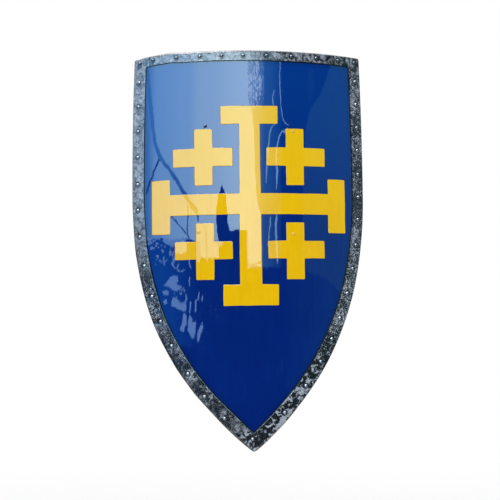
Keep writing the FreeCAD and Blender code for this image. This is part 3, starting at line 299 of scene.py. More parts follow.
CORNER_CUT, OUTLINE_STEP = 1.3, 4.0
SHAKE, SHAKE_SIZE = 0.55, 24.0
# Section of the painted edge, as (inward from the outline, height).
PAINT_EDGE = ((-0.45, 0.04), (-0.05, 0.12), (0.1, 0.24), (0.3, 0.29), (0.7, 0.29))
# The figures stand a little askew, turned about the foot of the large one.
FIGURE_TILT, FIGURE_FOOT = 0.0035, 455.0
PAINT_ACROSS, PAINT_DOWN = range(-186, 187, 6), range(96, 461, 12)


def soft_corner(start, here, end):
    """Points round a corner, halfway between a straight cut and a curve."""
    for share in (0.0, 0.33, 0.67):
        straight = start * (1 - share) + end * share
        curve = start * (1 - share) ** 2 + here * 2 * share * (1 - share) + end * share ** 2
        yield straight * 0.55 + curve * 0.45
    yield end


def painted_outline(corners, seed):
    """Corners made into a dense outline with small round corners and an unsteady edge."""
    points = []
    count = len(corners)
    for k in range(count):
        before, here, after = (Vector(corners[(k + d) % count]) for d in (-1, 0, 1))
        come = (here - before).normalized()
        leave = (after - here).normalized()
        start, end = here - come * CORNER_CUT, here + leave * CORNER_CUT
        points += soft_corner(start, here, end)
        straight = (after - here).length - 2 * CORNER_CUT
        steps = max(1, round(straight / OUTLINE_STEP))
        points += [end + leave * straight * step / steps for step in range(1, steps)]
    return [point + Vector((waves(point.x, point.y, SHAKE_SIZE, seed),
                            waves(point.x, point.y, SHAKE_SIZE, seed + 1))) * SHAKE
            for point in points]


def inward(points, distance):
    """The outline moved to its inside by a small distance."""
    area = sum(a.x * b.y - b.x * a.y for a, b in zip(points, points[1:] + points[:1]))
    turn = 1.0 if area > 0 else -1.0
    moved = []
    for k, point in enumerate(points):
        along = (points[(k + 1) % len(points)] - points[k - 1]).normalized()
        moved.append(point + Vector((-along.y, along.x)) * distance * turn)
    return moved


def raise_figure(shape, outline):
    """One figure's stepped edge and its flat top, in the pattern's flat plane."""
    rings = [[shape.verts.new((p.x, p.y, high)) for p in inward(outline, inset)]
             for inset, high in PAINT_EDGE]
    for level, (low, high) in enumerate(zip(rings, rings[1:])):
        for k in range(len(low)):
            n = (k + 1) % len(low)
            face = shape.faces.new((low[k], low[n], high[n], high[k]))
            # The lowest step takes the second finish: a dark line of painted shade at the paint's foot.
            face.material_index = 1 if level == 0 else 0
    shape.faces.new(rings[-1])
    shape.faces.new(rings[0][::-1])


def make_painted(name, figures, finish, line, nodes):
    """Painted figures, raised in the flat and then laid on the rolled sheet,
    with a dark line of painted shade round their foot.
    """
    shape = bmesh.new()
    for number, corners in enumerate(figures):
        raise_figure(shape, painted_outline(corners, 20 + 3 * number))
    shape.normal_update()
    bmesh.ops.triangulate(shape, faces=[f for f in shape.faces if len(f.verts) > 4])
    slice_faces(shape, PAINT_ACROSS, PAINT_DOWN)
    for vertex in shape.verts:
        u, t, high = vertex.co
        u, t = u - FIGURE_TILT * (FIGURE_FOOT - t), t - FIGURE_TILT * u
        vertex.co = on_roll(u, t, face_radius_at(u, t) + high)
    bmesh.ops.recalc_face_normals(shape, faces=shape.faces)
    mesh = bpy.data.meshes.new(name)
    shape.to_mesh(mesh)
    shape.free()
    mesh.materials.append(finish)
    mesh.materials.append(line)
    return dress(bpy.data.objects.new(name, mesh), "shield", nodes, 50.0)


def plus_corners(left, right, post_left, post_right, top, bottom, arm_top, arm_bottom):
    """The twelve corners of a plain cross."""
    return [(post_left, top), (post_right, top), (post_right, arm_top), (right, arm_top),
            (right, arm_bottom), (post_right, arm_bottom), (post_right, bottom),
            (post_left, bottom), (post_left, arm_bottom), (left, arm_bottom),
            (left, arm_top), (post_left, arm_top)]


CROSS_POTENT = [
    (51.2, 99.6), (51.0, 131.4), (18.5, 131.8), (18.8, 256.2), (146.4, 256.0), (146.0, 229.2),
    (182.6, 229.0), (182.4, 326.2), (146.2, 326.0), (146.0, 293.2), (19.4, 293.0), (19.6, 417.5),
    (49.6, 417.8), (49.2, 454.6), (-49.4, 454.8), (-49.2, 417.6), (-19.5, 417.8), (-19.2, 292.8),
    (-146.0, 293.2), (-146.2, 326.2), (-182.4, 326.0), (-182.6, 229.2), (-146.2, 228.8),
    (-146.0, 256.0), (-18.4, 256.2), (-18.2, 131.6), (-50.8, 131.8), (-51.0, 99.9)]
CROSSLETS = [
    plus_corners(30.2, 140.4, 65.8, 98.9, 139.9, 240.8, 174.0, 206.3),
    plus_corners(31.5, 137.3, 64.7, 98.0, 308.0, 408.8, 340.6, 371.9),
    plus_corners(-139.6, -30.6, -99.2, -66.4, 140.2, 240.4, 174.4, 206.6),
    plus_corners(-137.0, -31.9, -97.6, -64.9, 308.3, 408.4, 341.0, 372.2)]


# The folded rim strips, swept along the edge of the shield.

TOP_STEPS, CORNER_STEPS, TAPER_STEPS, CURVE_STEPS, STRIP_STEPS = 18, 7, 120, 262, 190
CURVE_SHARE = 0.985
POINT_SHARES = (0.985, 0.989, 0.992, 0.9945, 0.9965, 0.9985, 1)
BEVEL, FLAT_STEPS, BACK_STEPS = 0.55, 13, 6
# The rolled edge, as (inset, below the strip's front) and as (inset, above its back).
ROLL_FRONT = ((4.6, 0.03), (3.2, 0.12), (2.1, 0.28), (1.3, 0.52), (0.7, 0.84), (0.3, 1.2),
              (0.06, 1.6))
ROLL_BACK = ((0.06, 1.6), (0.3, 1.2), (0.7, 0.84), (1.3, 0.5), (2.2, 0.22), (3.4, 0.0))
# How many faces round the section are the strip's inner edge, which has the second finish,
# dark partly as painted shade.
BEVEL_FACES = 3
# What marks a strip's end at a seam, more than any hollow does.
SEAM_MARK = 2.0


def side_column(inset_side, inset_top, corner):
    """Places (across, down) along half the shield's edge, from the top seam to the point."""
    start = inset_top + corner
    edge = side_half(start, inset_side)
    seam = SEAM_ACROSS + SEAM_GAP / 2
    places = [(seam + (edge - corner - seam) * k / TOP_STEPS, inset_top) for k in range(TOP_STEPS)]
    for k in range(CORNER_STEPS):
        turn = math.pi / 2 * k / CORNER_STEPS
        places.append((edge - corner * (1 - math.sin(turn)),
                       inset_top + corner * (1 - math.cos(turn))))
    for k in range(TAPER_STEPS):
        down = start + (SHOULDER - start) * k / TAPER_STEPS
        places.append((side_half(down, inset_side), down))
    reach = SIDE_RADIUS - inset_side
    sweep = math.acos(-SIDE_CENTRE / reach)
    small = max(INNER_POINT_RADIUS, POINT_RADIUS - inset_side)
    tip = SHOULDER + reach * math.sin(sweep)
    shares = [k / CURVE_STEPS * CURVE_SHARE for k in range(CURVE_STEPS)]
    for share in shares + list(POINT_SHARES):
        across = SIDE_CENTRE + reach * math.cos(sweep * share)
        down = SHOULDER + reach * math.sin(sweep * share)
        if across < small * math.cos(sweep):
            across = max(across, 0.0)
            down = tip - small / math.sin(sweep) + math.sqrt(max(small ** 2 - across ** 2, 0.0))
        places.append((across, down))
    return places


def rim_profile(front_wide, back_wide):
    """Section of the folded strip: (inset from the edge, radius, how far it is hammered)."""
    section = [(front_wide, RIM_UNDER, 0.0), (front_wide, RIM_FRONT - 0.5, 0.0),
               (front_wide - 0.15, RIM_FRONT - 0.18, 0.6), (front_wide - BEVEL, RIM_FRONT, 1.0)]
    for k in range(1, FLAT_STEPS + 1):
        inset = front_wide - BEVEL - (front_wide - 6.0 - BEVEL) * k / FLAT_STEPS
        section.append((inset, RIM_FRONT, 1.0))
    section += [(inset, RIM_FRONT - drop, 0.6) for inset, drop in ROLL_FRONT]
    section += [(inset, RIM_BACK + drop, 0.4) for inset, drop in ROLL_BACK]
    start = ROLL_BACK[-1][0]
    for k in range(1, BACK_STEPS + 1):
        section.append((start + (back_wide - 0.5 - start) * k / BACK_STEPS, RIM_BACK, -0.6))
    section += [(back_wide, RIM_BACK + 0.4, 0.0), (back_wide, RIM_OVER, 0.0),
                (1.5, RIM_OVER, 0.0), (1.5, RIM_UNDER, 0.0), (6.0, RIM_UNDER, 0.0)]
    return section


def rim_finish_of(count, around):
    """The second finish on the strip's inner edge, the first everywhere else."""
    return [1 if k < BEVEL_FACES else 0 for c in range(count - 1) for k in range(around)] + [0, 0]


def make_rim_strip(name, finishes, node, mirror):
    """A side strip, from the seam in the top edge round the corner and down to the point."""
    sides = rim_profile(SIDE_WIDTH, SIDE_FLANGE)
    tops = rim_profile(TOP_WIDTH, TOP_FLANGE)
    rows = []
    for (inset, radius, hammer), (top_inset, _, _) in zip(sides, tops):
        corner = CORNER_RADIUS + min(inset, SIDE_WIDTH) / SIDE_WIDTH
        row = []
        for across, down in side_column(inset, top_inset, corner):
            u = mirror * across
            lift = hammer * rim_lift(u, down, inset) if hammer else 0.0
            row.append((on_roll(u, down, radius + lift), hollow(u, down)))
        rows.append(row)
    around, count = len(rows), len(rows[0])
    vertices = [rows[k][c][0] for c in range(count) for k in range(around)]
    hollows = [rows[k][c][1] for c in range(count) for k in range(around)]
    inset = [section[k][0] for section in [tops] * TOP_STEPS + [sides] * (count - TOP_STEPS)
             for k in range(around)]
    clear = [inset[c * around + k] - (TOP_WIDTH if c < TOP_STEPS else SIDE_WIDTH)
             for c in range(count) for k in range(around)]
    return make_piece(name, vertices, ring_faces(count, around), finishes, nodes=[node],
                      crease=50.0, finish_of=rim_finish_of(count, around),
                      marks={"edge_inset": inset, "clear_of_rim": clear, "hollow": hollows})


def make_top_strip(finishes):
    """The strip between the two seams in the top edge, marked dark at both ends."""
    section = rim_profile(TOP_WIDTH, TOP_FLANGE)
    end = SEAM_ACROSS - SEAM_GAP / 2
    count = STRIP_STEPS + 1
    vertices, hollows = [], []
    for c in range(count):
        u = end * (2 * c / STRIP_STEPS - 1)
        at_seam = c < 2 or c > STRIP_STEPS - 2
        for inset, radius, hammer in section:
            lift = hammer * rim_lift(u, inset, inset) if hammer else 0.0
            vertices.append(on_roll(u, inset, radius + lift))
            hollows.append(SEAM_MARK if at_seam else hollow(u, inset))
    inset = [inset for inset, _, _ in section] * count
    return make_piece("rim_strip_top", vertices, ring_faces(count, len(section)), finishes,
                      nodes=["rim_band_top"], crease=50.0,
                      finish_of=rim_finish_of(count, len(section)),
                      marks={"edge_inset": inset, "clear_of_rim": [v - TOP_WIDTH for v in inset],
                             "hollow": hollows})


# Strap loops behind the face: straight runs joined by arcs, in the strap's own frame.

# Off the flank's line: the buckle's bars, the fold's lower and returning runs and the tail.
# Round the heel bar, as radius of the leather's middle: the fold, and the billet that wraps it.
FOLD_FIT = 0.15
BAR_OFF = ROLLER_RADIUS + STRAP_FIT + STRAP_THICK / 2
FOLD = WIRE_RADIUS + FOLD_FIT + STRAP_THICK / 2
LOWER = BAR_OFF - FOLD
RETURN = LOWER + STRAP_THICK + FOLD_FIT
WRAP = FOLD + STRAP_THICK + STRAP_FIT
TAIL = RETURN + STRAP_THICK + STRAP_FIT
# The buckle's bars along the flank, the strap's rise over it, and its settling bend behind.
FRONT, HEEL = BUCKLE_FROM_CROWN, BUCKLE_FROM_CROWN + BUCKLE_LENGTH
RISE = math.asin((BAR_OFF + WRAP) / BUCKLE_LENGTH)
SETTLE = 4 * STRAP_THICK


class Loop:
    """A strap's loop between two rivets: flat feet, straight flanks and a round crown."""

    def __init__(self, rivets, flank, crown):
        upper, lower = rivets
        across, down = (upper[0] + lower[0]) / 2, (upper[1] + lower[1]) / 2
        aside, span = upper[0] - lower[0], lower[1] - upper[1]
        self.matrix = (Matrix.Translation((0, AXIS_Y, 0))
                       @ Matrix.Rotation(across / FACE_RADIUS, 4, "Z")
                       @ Matrix.Translation((0, -INNER_RADIUS, TOP_Z - down))
                       @ Matrix.Rotation(math.atan2(aside, span), 4, "Y"))
        self.angle, self.crown = math.radians(flank), crown
        self.half_span = math.hypot(aside, span) / 2
        half_foot = STRAP_WIDTH / 2 + abs(aside) / 2
        self.seat = half_foot ** 2 / (2 * INNER_RADIUS) + RIVET_SEAT + STRAP_THICK / 2
        self.bend_up = self.half_span - STRAP_FLAT - STRAP_BEND * math.tan(self.angle / 2)
        self.apex = self.seat + self.bend_up * math.tan(self.angle)
        self.down = Vector((math.cos(self.angle), -math.sin(self.angle)))
        self.off = Vector((math.sin(self.angle), math.cos(self.angle)))
        self.flank = Vector((0, self.apex)) + self.down * crown * math.tan(self.angle)

    def on_flank(self, along, off):
        """A point along the lower flank from the crown's end, and off the strap's middle."""
        return self.flank + self.down * along + self.off * off

    def corner(self, along, off, radius=0.0):
        """A corner of a strap's path on the flank, with the radius of its bend."""
        point = self.on_flank(along, off)
        return (point.x, point.y, radius)

    def world(self, across, point):
        """A point across the strap and (up, out) in its frame, in metres on the shield."""
        return (self.matrix @ Vector((across, point.y, point.x))) * MM


FOREARM = Loop(FOREARM_RIVETS, FOREARM_FLANK, FOREARM_CROWN)
HAND = Loop(HAND_RIVETS, HAND_FLANK, HAND_CROWN)

PATH_STEP, BEND_STEP = 2.2, math.radians(8)


def run_along(corners, step=PATH_STEP):
    """Points and directions along straight runs joined by tangent arcs."""
    places = []
    last = Vector(corners[0][:2])
    for before, corner, after in zip(corners, corners[1:], corners[2:]):
        here = Vector(corner[:2])
        come = (here - Vector(before[:2])).normalized()
        leave = (Vector(after[:2]) - here).normalized()
        turn = math.atan2(come.x * leave.y - come.y * leave.x, come.dot(leave))
        reach = corner[2] * math.tan(abs(turn) / 2)
        start = here - come * reach
        length = (start - last).length
        if (start - last).dot(come) > 0.02:
            count = max(1, round(length / step))
            places += [(last + come * length * k / count, come) for k in range(count)]
        count = max(3, math.ceil(abs(turn) / BEND_STEP))
        sign = 1.0 if turn > 0 else -1.0
        centre = start + Vector((-come.y, come.x)) * sign * corner[2]
        for k in range(count):
            spin = Matrix.Rotation(turn * k / count, 2)
            places.append((centre + spin @ (start - centre), spin @ come))
        last = here + leave * reach
    finish = Vector(corners[-1][:2])
    along = (finish - last).normalized()
    length = (finish - last).length
    count = max(1, round(length / step))
    return places + [(last + along * length * k / count, along) for k in range(count + 1)]


def travel(places):
    """How far along the path each of its places lies."""
    lengths = [0.0]
    for (a, _), (b, _) in zip(places, places[1:]):
        lengths.append(lengths[-1] + (b - a).length)
    return lengths


def at_travel(places, distance):
    """The point and direction at a distance along a path."""
    lengths = travel(places)
    for k in range(len(places) - 1):
        if distance <= lengths[k + 1]:
            share = (distance - lengths[k]) / max(lengths[k + 1] - lengths[k], 1e-6)
            return (places[k][0].lerp(places[k + 1][0], share),
                    places[k][1].lerp(places[k + 1][1], share).normalized())
    return places[-1]


# Half of the grain side as (across, height on the leather), with the creased line by the edge.
CREASED = ((-13.6, 0.0), (-13.1, 0.0), (-12.7, -0.32), (-12.3, -0.32), (-11.9, 0.0),
           (-9.0, 0.03), (-6.0, 0.05), (-3.0, 0.05), (0.0, 0.05))
# Distances from a round end where its narrowing is set.
END_MARKS = (0.05, 0.25, 0.7, 1.5, 2.6, 4.0, 6.0, 8.5, 11.5, 14.5, 16.4)
EDGE_WEAR, EDGE_WEAR_SIZE = 0.012, 14.0


def strap_section():
    """Leather section as (across, off): soft edges, and a creased line along each edge."""
    half, thick = STRAP_WIDTH / 2, STRAP_THICK / 2
    grain = [(-half, 0.35), (-half + 0.18, thick - 0.45), (-half + 0.7, thick - 0.1)]
    grain += [(across, thick + high - 0.05) for across, high in CREASED]
    grain += [(-across, off) for across, off in reversed(grain[:-1])]
    edge = [(half, -0.35), (half - 0.25, -thick + 0.35), (half - 0.8, -thick + 0.05)]
    flesh = [(across, -thick) for across in (12.0, 6.0, 0.0, -6.0, -12.0)]
    return grain + edge + flesh + [(-across, off) for across, off in reversed(edge)]


def strap_marks(lengths, rounded):
    """Distances along a strap where its section is set, close together in a round end."""
    total, clear = lengths[-1], STRAP_WIDTH / 2 + 0.5
    marks = {d for d in lengths if (d > clear or not rounded[0])
             and (d < total - clear or not rounded[1])}
    marks |= set(END_MARKS) if rounded[0] else {0.0}
    marks |= {total - d for d in END_MARKS} if rounded[1] else {total}
    return sorted(marks)


def make_strap(name, loop, corners, rounded, finish, nodes, cutters=None, seed=0):
    """Leather strap with half-round ends, gently worn out of true, with its holes cut."""
    places = run_along(corners)
    lengths = travel(places)
    marks = strap_marks(lengths, rounded)
    section = strap_section()
    half = STRAP_WIDTH / 2
    vertices = []
    for mark in marks:
        point, along = at_travel(places, mark)
        side = Vector((-along.y, along.x))
        near = min(mark if rounded[0] else half, lengths[-1] - mark if rounded[1] else half, half)
        narrow = math.sqrt(max(half ** 2 - (half - near) ** 2, 0.01)) / half
        for across, off in section:
            worn = 1 - EDGE_WEAR * (1 + waves(mark, across * 0.2, EDGE_WEAR_SIZE, seed))
            vertices.append(loop.world(across * narrow * worn, point + side * off))
    piece = make_piece(name, vertices, ring_faces(len(marks), len(section)), [finish],
                       nodes=nodes, crease=60.0)
    if cutters:
        cut_holes(piece, loop, cutters)
        dress(piece, "shield", [], 60.0)
    return piece


PUNCH_AROUND, PUNCH_REACH = 24, 4.0


def cut_holes(piece, loop, cutters):
    """Takes round or long holes through a strap, each given as (point, along, half, length)."""
    vertices, faces = [], []
    for point, along, half, length in cutters:
        side = Vector((-along.y, along.x))
        first = len(vertices)
        for off in (-PUNCH_REACH, PUNCH_REACH):
            for k in range(PUNCH_AROUND):
                turn = 2 * math.pi * k / PUNCH_AROUND
                shift = length / 2 * (1 if math.cos(turn) > 0 else -1)
                vertices.append(loop.world(half * math.sin(turn), point
                                           + along * (half * math.cos(turn) + shift) + side * off))
        faces += ring_faces(2, PUNCH_AROUND, first)
    mesh = bpy.data.meshes.new("hole_punch")
    mesh.from_pydata([tuple(v) for v in vertices], [], faces)
    face_outward(mesh)
    punch = bpy.data.objects.new("hole_punch", mesh)
    bpy.context.scene.collection.objects.link(punch)
    take = piece.modifiers.new("holes", "BOOLEAN")
    take.operation, take.solver, take.object = "DIFFERENCE", "EXACT", punch
    done = bpy.data.meshes.new_from_object(
        piece.evaluated_get(bpy.context.evaluated_depsgraph_get()))
    piece.modifiers.clear()
    piece.data = done
    bpy.data.objects.remove(punch)


def chape_corners():
    """Path of the strap's end that folds round the buckle's heel bar."""
    loop = FOREARM
    flank = loop.on_flank(0.0, LOWER)
    bend = flank + loop.down * ((flank.y - loop.seat) / math.sin(loop.angle))
    top = BAR_OFF + FOLD
    settled = HEEL + STRAP_THICK / 2
    return [(loop.half_span + STRAP_TAIL, loop.seat), (bend.x, bend.y, STRAP_BEND - LOWER),
            loop.corner(HEEL - FOLD, LOWER, FOLD), loop.corner(HEEL - FOLD, top, FOLD),
            loop.corner(settled, top, SETTLE / 2),
            loop.corner(settled + SETTLE * 2 / 3, RETURN, SETTLE / 2),
            loop.corner(HEEL + CHAPE_END, RETURN)]


def billet_corners():
    """Path of the strap's long end, over the buckle and down on the fold behind it."""
    loop = FOREARM
    half_rise = math.tan(RISE / 2)
    over = BAR_OFF + WRAP
    settled = HEEL + STRAP_THICK
    return [(-loop.half_span - STRAP_TAIL, loop.seat), (-loop.bend_up, loop.seat, STRAP_BEND),
            (0.0, loop.apex, loop.crown), loop.corner(FRONT + BAR_OFF * half_rise, 0.0, BAR_OFF),
            loop.corner(HEEL - WRAP * half_rise, over, WRAP),
            loop.corner(settled, over, SETTLE / 2),
            loop.corner(settled + SETTLE * 2 / 3, TAIL, SETTLE / 2),
            loop.corner(HEEL + BILLET_END, TAIL)]


def hand_corners():
    """Path of the hand strap, the same up and down."""
    loop = HAND
    end, bend = loop.half_span + STRAP_TAIL, loop.bend_up
    return [(-end, loop.seat), (-bend, loop.seat, STRAP_BEND), (0.0, loop.apex, loop.crown),
            (bend, loop.seat, STRAP_BEND), (end, loop.seat)]


def billet_holes(places):
    """The hole that the tongue sits in, and the spare ones, spaced along the strap."""
    loop = FOREARM
    slope = math.asin((ROLLER_RADIUS + STRAP_FIT + TONGUE_RADIUS) / BUCKLE_LENGTH)
    hole = TONGUE_RADIUS + TONGUE_GAP

    def crossing(lift):
        """Where the tongue crosses the rising strap."""
        steep, rise = math.tan(slope + lift), math.tan(RISE)
        start = FRONT + BAR_OFF * math.tan(RISE / 2)
        along = (BAR_OFF + HEEL * steep + start * rise) / (rise + steep)
        return loop.on_flank(along, (along - start) * rise)

    rest, lifted = crossing(0.0), crossing(math.radians(TONGUE_LIFT))
    rising = loop.down * math.cos(RISE) + loop.off * math.sin(RISE)
    cut = RISE + slope
    spread = (TONGUE_RADIUS / math.sin(cut) + STRAP_THICK / 2 / math.tan(cut)
              + STRAP_FIT - TONGUE_RADIUS)
    first, second = rest - rising * spread, lifted + rising * spread
    holes = [((first + second) / 2, rising, hole, (second - first).length)]
    used = min(range(len(places)), key=lambda k: (places[k][0] - rest).length)
    used = travel(places)[used] + (rest - places[used][0]).dot(places[used][1])
    for step in (-3, -2, -1, 1):
        point, along = at_travel(places, used + HOLE_PITCH * step)
        holes.append((point, along, hole, 0.0))
    return holes


# Sewing thread: short stitches that dip into the leather at both ends.

# Rings of a stitch as (share of its length, size, how deep it is sunk).
STITCH_RINGS = ((0.0, 0.3, 0.55), (0.12, 0.85, 0.1), (0.35, 1.0, 0.0), (0.65, 1.0, 0.0),
                (0.88, 0.85, 0.1), (1.0, 0.3, 0.55))
GRIP_THREAD, KEEPER_THREAD, THREAD_AROUND = 0.42, 0.4, 8


def stitch_shape(vertices, faces, start, end, out, thick):
    """One stitch from start to end, bowed out of the leather."""
    first = len(vertices)
    along = (end - start).normalized()
    aside = along.cross(out).normalized()
    for share, size, sink in STITCH_RINGS:
        middle = start.lerp(end, share) - out * sink * thick * 2 * MM
        for k in range(THREAD_AROUND):
            turn = 2 * math.pi * k / THREAD_AROUND
            vertices.append(middle + (aside * math.cos(turn) + out * math.sin(turn))
                            * thick * size * MM)
    faces += ring_faces(len(STITCH_RINGS), THREAD_AROUND, first)


def outward(loop, direction):
    """A direction (up, out) of a strap's frame on the shield."""
    return (loop.world(0, direction) - loop.world(0, Vector((0, 0)))).normalized()


GRIP_STEP, GRIP_RINGS, GRIP_AROUND = 1.6, 84, 56
GRIP_HALF_WIDTH, GRIP_HALF_THICK = 18.6, 4.75
GRIP_STITCHES, SEAM_END, SEAM_OUT, SEAM_OFF = 19, 5.5, 15.2, 4.05


def grip_point(along, turn, edge):
    """A point of the grip's section: squared oval, creased, pinched by its lip and its seam."""
    c, s = math.cos(turn), math.sin(turn)
    x = GRIP_HALF_WIDTH * math.copysign(abs(c) ** 0.62, c)
    y = GRIP_HALF_THICK * math.copysign(abs(s) ** 0.72, s)
    crease = waves(along, x * 0.35, 7.0, 11) + 0.5 * waves(along, x, 3.2, 12)
    lip = 1 - 0.10 * math.exp(-((edge - 4.2) / 1.1) ** 2)
    close = ease(edge + 0.8, 0.0, 2.0)
    y *= lip * (0.93 + 0.07 * close) * (1 + 0.035 * crease)
    x *= 0.985 + 0.012 * crease
    return (x, y * 0.93 if x > 14.2 else y)


def make_grip(leather, thread):
    """Thick leather sleeve round the hand strap, pulled together by a sewn seam."""
    loop = HAND
    end = loop.on_flank(GRIP_FLANK, 0.0)
    corners = [(-end.x, end.y), (0.0, loop.apex, loop.crown), (end.x, end.y)]
    places = run_along(corners, GRIP_STEP)
    total = travel(places)[-1]
    vertices = []
    for ring in range(GRIP_RINGS + 1):
        share = ring / GRIP_RINGS
        point, along = at_travel(places, total * share)
        side = Vector((-along.y, along.x))
        edge = min(share, 1 - share) * total
        for k in range(GRIP_AROUND):
            x, y = grip_point(total * share, 2 * math.pi * k / GRIP_AROUND, edge)
            vertices.append(loop.world(x, point + side * y))
    make_piece("hand_grip", vertices, ring_faces(GRIP_RINGS + 1, GRIP_AROUND), [leather],
               nodes=["hand_grip_sleeve"], crease=70.0)
    vertices, faces = [], []
    for row in (-1, 1):
        for k in range(GRIP_STITCHES):
            ends = []
            for share in ((k + 0.12) / GRIP_STITCHES, (k + 0.88) / GRIP_STITCHES):
                point, along = at_travel(places, SEAM_END + (total - 2 * SEAM_END) * share)
                side = Vector((-along.y, along.x)) * row
                ends.append((loop.world(SEAM_OUT, point + side * SEAM_OFF), side))
            out = outward(loop, ends[0][1])
            stitch_shape(vertices, faces, ends[0][0], ends[1][0], out, GRIP_THREAD)
    make_piece("grip_stitches", vertices, faces, [thread], crease=80.0)


KEEPER_LOW = LOWER - STRAP_THICK / 2 - STRAP_FIT
KEEPER_HIGH = TAIL + STRAP_THICK / 2 + STRAP_FIT
KEEPER_SOFT, KEEPER_ARC = 0.25, 8
# Section of the keeper's leather, as (along the strap, out from its inside).
KEEPER_SECTION = (
    (-4.5, 0.5), (-4.25, 0.1), (-3.6, 0.02), (3.6, 0.02), (4.25, 0.1), (4.5, 0.5), (4.5, 1.3),
    (4.2, 1.85), (3.3, 2.0), (2.9, 2.0), (2.6, 1.75), (2.3, 1.75), (2.0, 2.0), (-2.0, 2.0),
    (-2.3, 1.75), (-2.6, 1.75), (-2.9, 2.0), (-3.3, 2.0), (-4.2, 1.85), (-4.5, 1.3))
CORNER_STRETCH = 1.12
# Ends of the keeper's two stitches across the strap, and where they lie along it.
STITCH_ACROSS, STITCH_ALONG = (-2.0, 2.0), (-1.3, 1.3)


def keeper_outline(wide, high):
    """The keeper's inside as (x, y, outward x, outward y), round soft corners."""
    outline = []
    quarters = ((1, 1), (-1, 1), (-1, -1), (1, -1))
    for quarter, (cx, cy) in enumerate(quarters):
        for k in range(KEEPER_ARC + 1):
            turn = math.radians(90 * (quarter + k / KEEPER_ARC))
            outline.append((cx * (wide / 2 - KEEPER_SOFT) + KEEPER_SOFT * math.cos(turn),
                            cy * (high / 2 - KEEPER_SOFT) + KEEPER_SOFT * math.sin(turn),
                            math.cos(turn), math.sin(turn)))
        x, y, out_x, out_y = outline[-1]
        next_x, next_y = quarters[(quarter + 1) % 4]
        level = next_x != cx
        span, steps = (wide, 8) if level else (high, 4)
        span -= 2 * KEEPER_SOFT
        for k in range(1, steps):
            outline.append((x + (next_x - cx) / 2 * span * k / steps,
                            y + (next_y - cy) / 2 * span * k / steps, out_x, out_y))
    return outline


def make_keeper(leather, thread):
    """Leather loop round the folded strap and its tail, its ends butted and sewn."""
    loop = FOREARM
    middle = loop.on_flank(HEEL + KEEPER_FROM_HEEL, (KEEPER_LOW + KEEPER_HIGH) / 2)
    high = KEEPER_HIGH - KEEPER_LOW
    outline = keeper_outline(STRAP_WIDTH + 2 * STRAP_FIT, high)
    vertices = []
    for x, y, out_x, out_y in outline:
        stretch = 1.0 if abs(out_x * out_y) < 0.01 else CORNER_STRETCH
        for along, out in KEEPER_SECTION:
            shift = out * (stretch if out > 1 else 1.0)
            place = middle + loop.down * along + loop.off * (y + out_y * shift)
            vertices.append(loop.world(x + out_x * shift, place))
    make_piece("keeper_loop", vertices, ring_faces(len(outline), len(KEEPER_SECTION), closed=True),
               [leather], body="keeper", nodes=["strap_keeper"],
               crease=60.0)
    vertices, faces = [], []
    lift = high / 2 + KEEPER_THICK - 0.05
    for along in STITCH_ALONG:
        ends = [loop.world(x, middle + loop.down * along + loop.off * lift)
                for x in STITCH_ACROSS]
        stitch_shape(vertices, faces, *ends, outward(loop, loop.off), KEEPER_THREAD)
    make_piece("keeper_stitches", vertices, faces, [thread], body="keeper",
               crease=80.0)


# Finishes. A board is one node tree that is filled step by step.

class Board:
    """A node tree with short ways to put nodes in and join them."""

    def __init__(self, tree):
        self.tree = tree

    def add(self, kind, values=None, **settings):
        """A node with its settings, and values or links for its sockets."""
        item = self.tree.nodes.new("ShaderNode" + kind)
        for key, value in settings.items():
            setattr(item, key, value)
        for key, value in (values or {}).items():
            self.feed(item.inputs[key], value)
        return item

    def feed(self, socket, value):
        """Links a socket, or sets it where the value is a plain one."""
        if isinstance(value, bpy.types.NodeSocket):
            self.tree.links.new(value, socket)
        else:
            socket.default_value = value

    def sum(self, operation, *values):
        """The outcome of one operation on plain or linked numbers."""
        item = self.add("Math", operation=operation)
        for socket, value in zip(item.inputs, values):
            self.feed(socket, value)
        return item.outputs[0]

    def mix(self, share, first, second):
        """A colour that goes from the first to the second as the share goes from 0 to 1."""
        item = self.add("Mix", data_type="RGBA")
        for index, value in ((0, share), (6, first), (7, second)):
            self.feed(item.inputs[index], value)
        return item.outputs[2]

    def between(self, share, first, second):
        """A number that goes from the first to the second as the share goes from 0 to 1."""
        item = self.add("Mix")
        for index, value in ((0, share), (2, first), (3, second)):
            self.feed(item.inputs[index], value)
        return item.outputs[0]

    def step(self, value, low, high):
        """Smooth rise from 0 to 1 between low and high, or fall where low is the larger."""
        ends = (high, low, 1.0, 0.0) if low > high else (low, high, 0.0, 1.0)
        item = self.add("MapRange", {0: value, 1: ends[0], 2: ends[1], 3: ends[2], 4: ends[3]},
                        interpolation_type="SMOOTHSTEP")
        return item.outputs[0]

    def zone(self, point, across, rise):
        """A part of the shield: steps across and up between metres from the middle."""
        return self.sum("MULTIPLY", self.step(point[0], *across), self.step(point[2], *rise))

    def split(self, place):
        """The three parts of a place or a direction."""
        return self.add("SeparateXYZ", {0: place}).outputs

    def noise(self, place, scale, detail=4.0, rough=0.55, twist=0.0):
        """Cloudy noise between 0 and 1."""
        item = self.add("TexNoise", {"Vector": place, "Scale": scale, "Detail": detail,
                                     "Roughness": rough, "Distortion": twist})
        return item.outputs[0]

    def stretch(self, place, x, y, z):
        """The place scaled along each axis, for noise that is longer one way."""
        return self.add("Mapping", {"Vector": place, "Scale": (x, y, z)}).outputs[0]

    def bump(self, height, strength, depth, normal=None):
        """A surface raised by a height, on top of another where one is given."""
        values = {"Height": height, "Strength": strength, "Distance": depth}
        if normal is not None:
            values["Normal"] = normal
        return self.add("Bump", values).outputs[0]


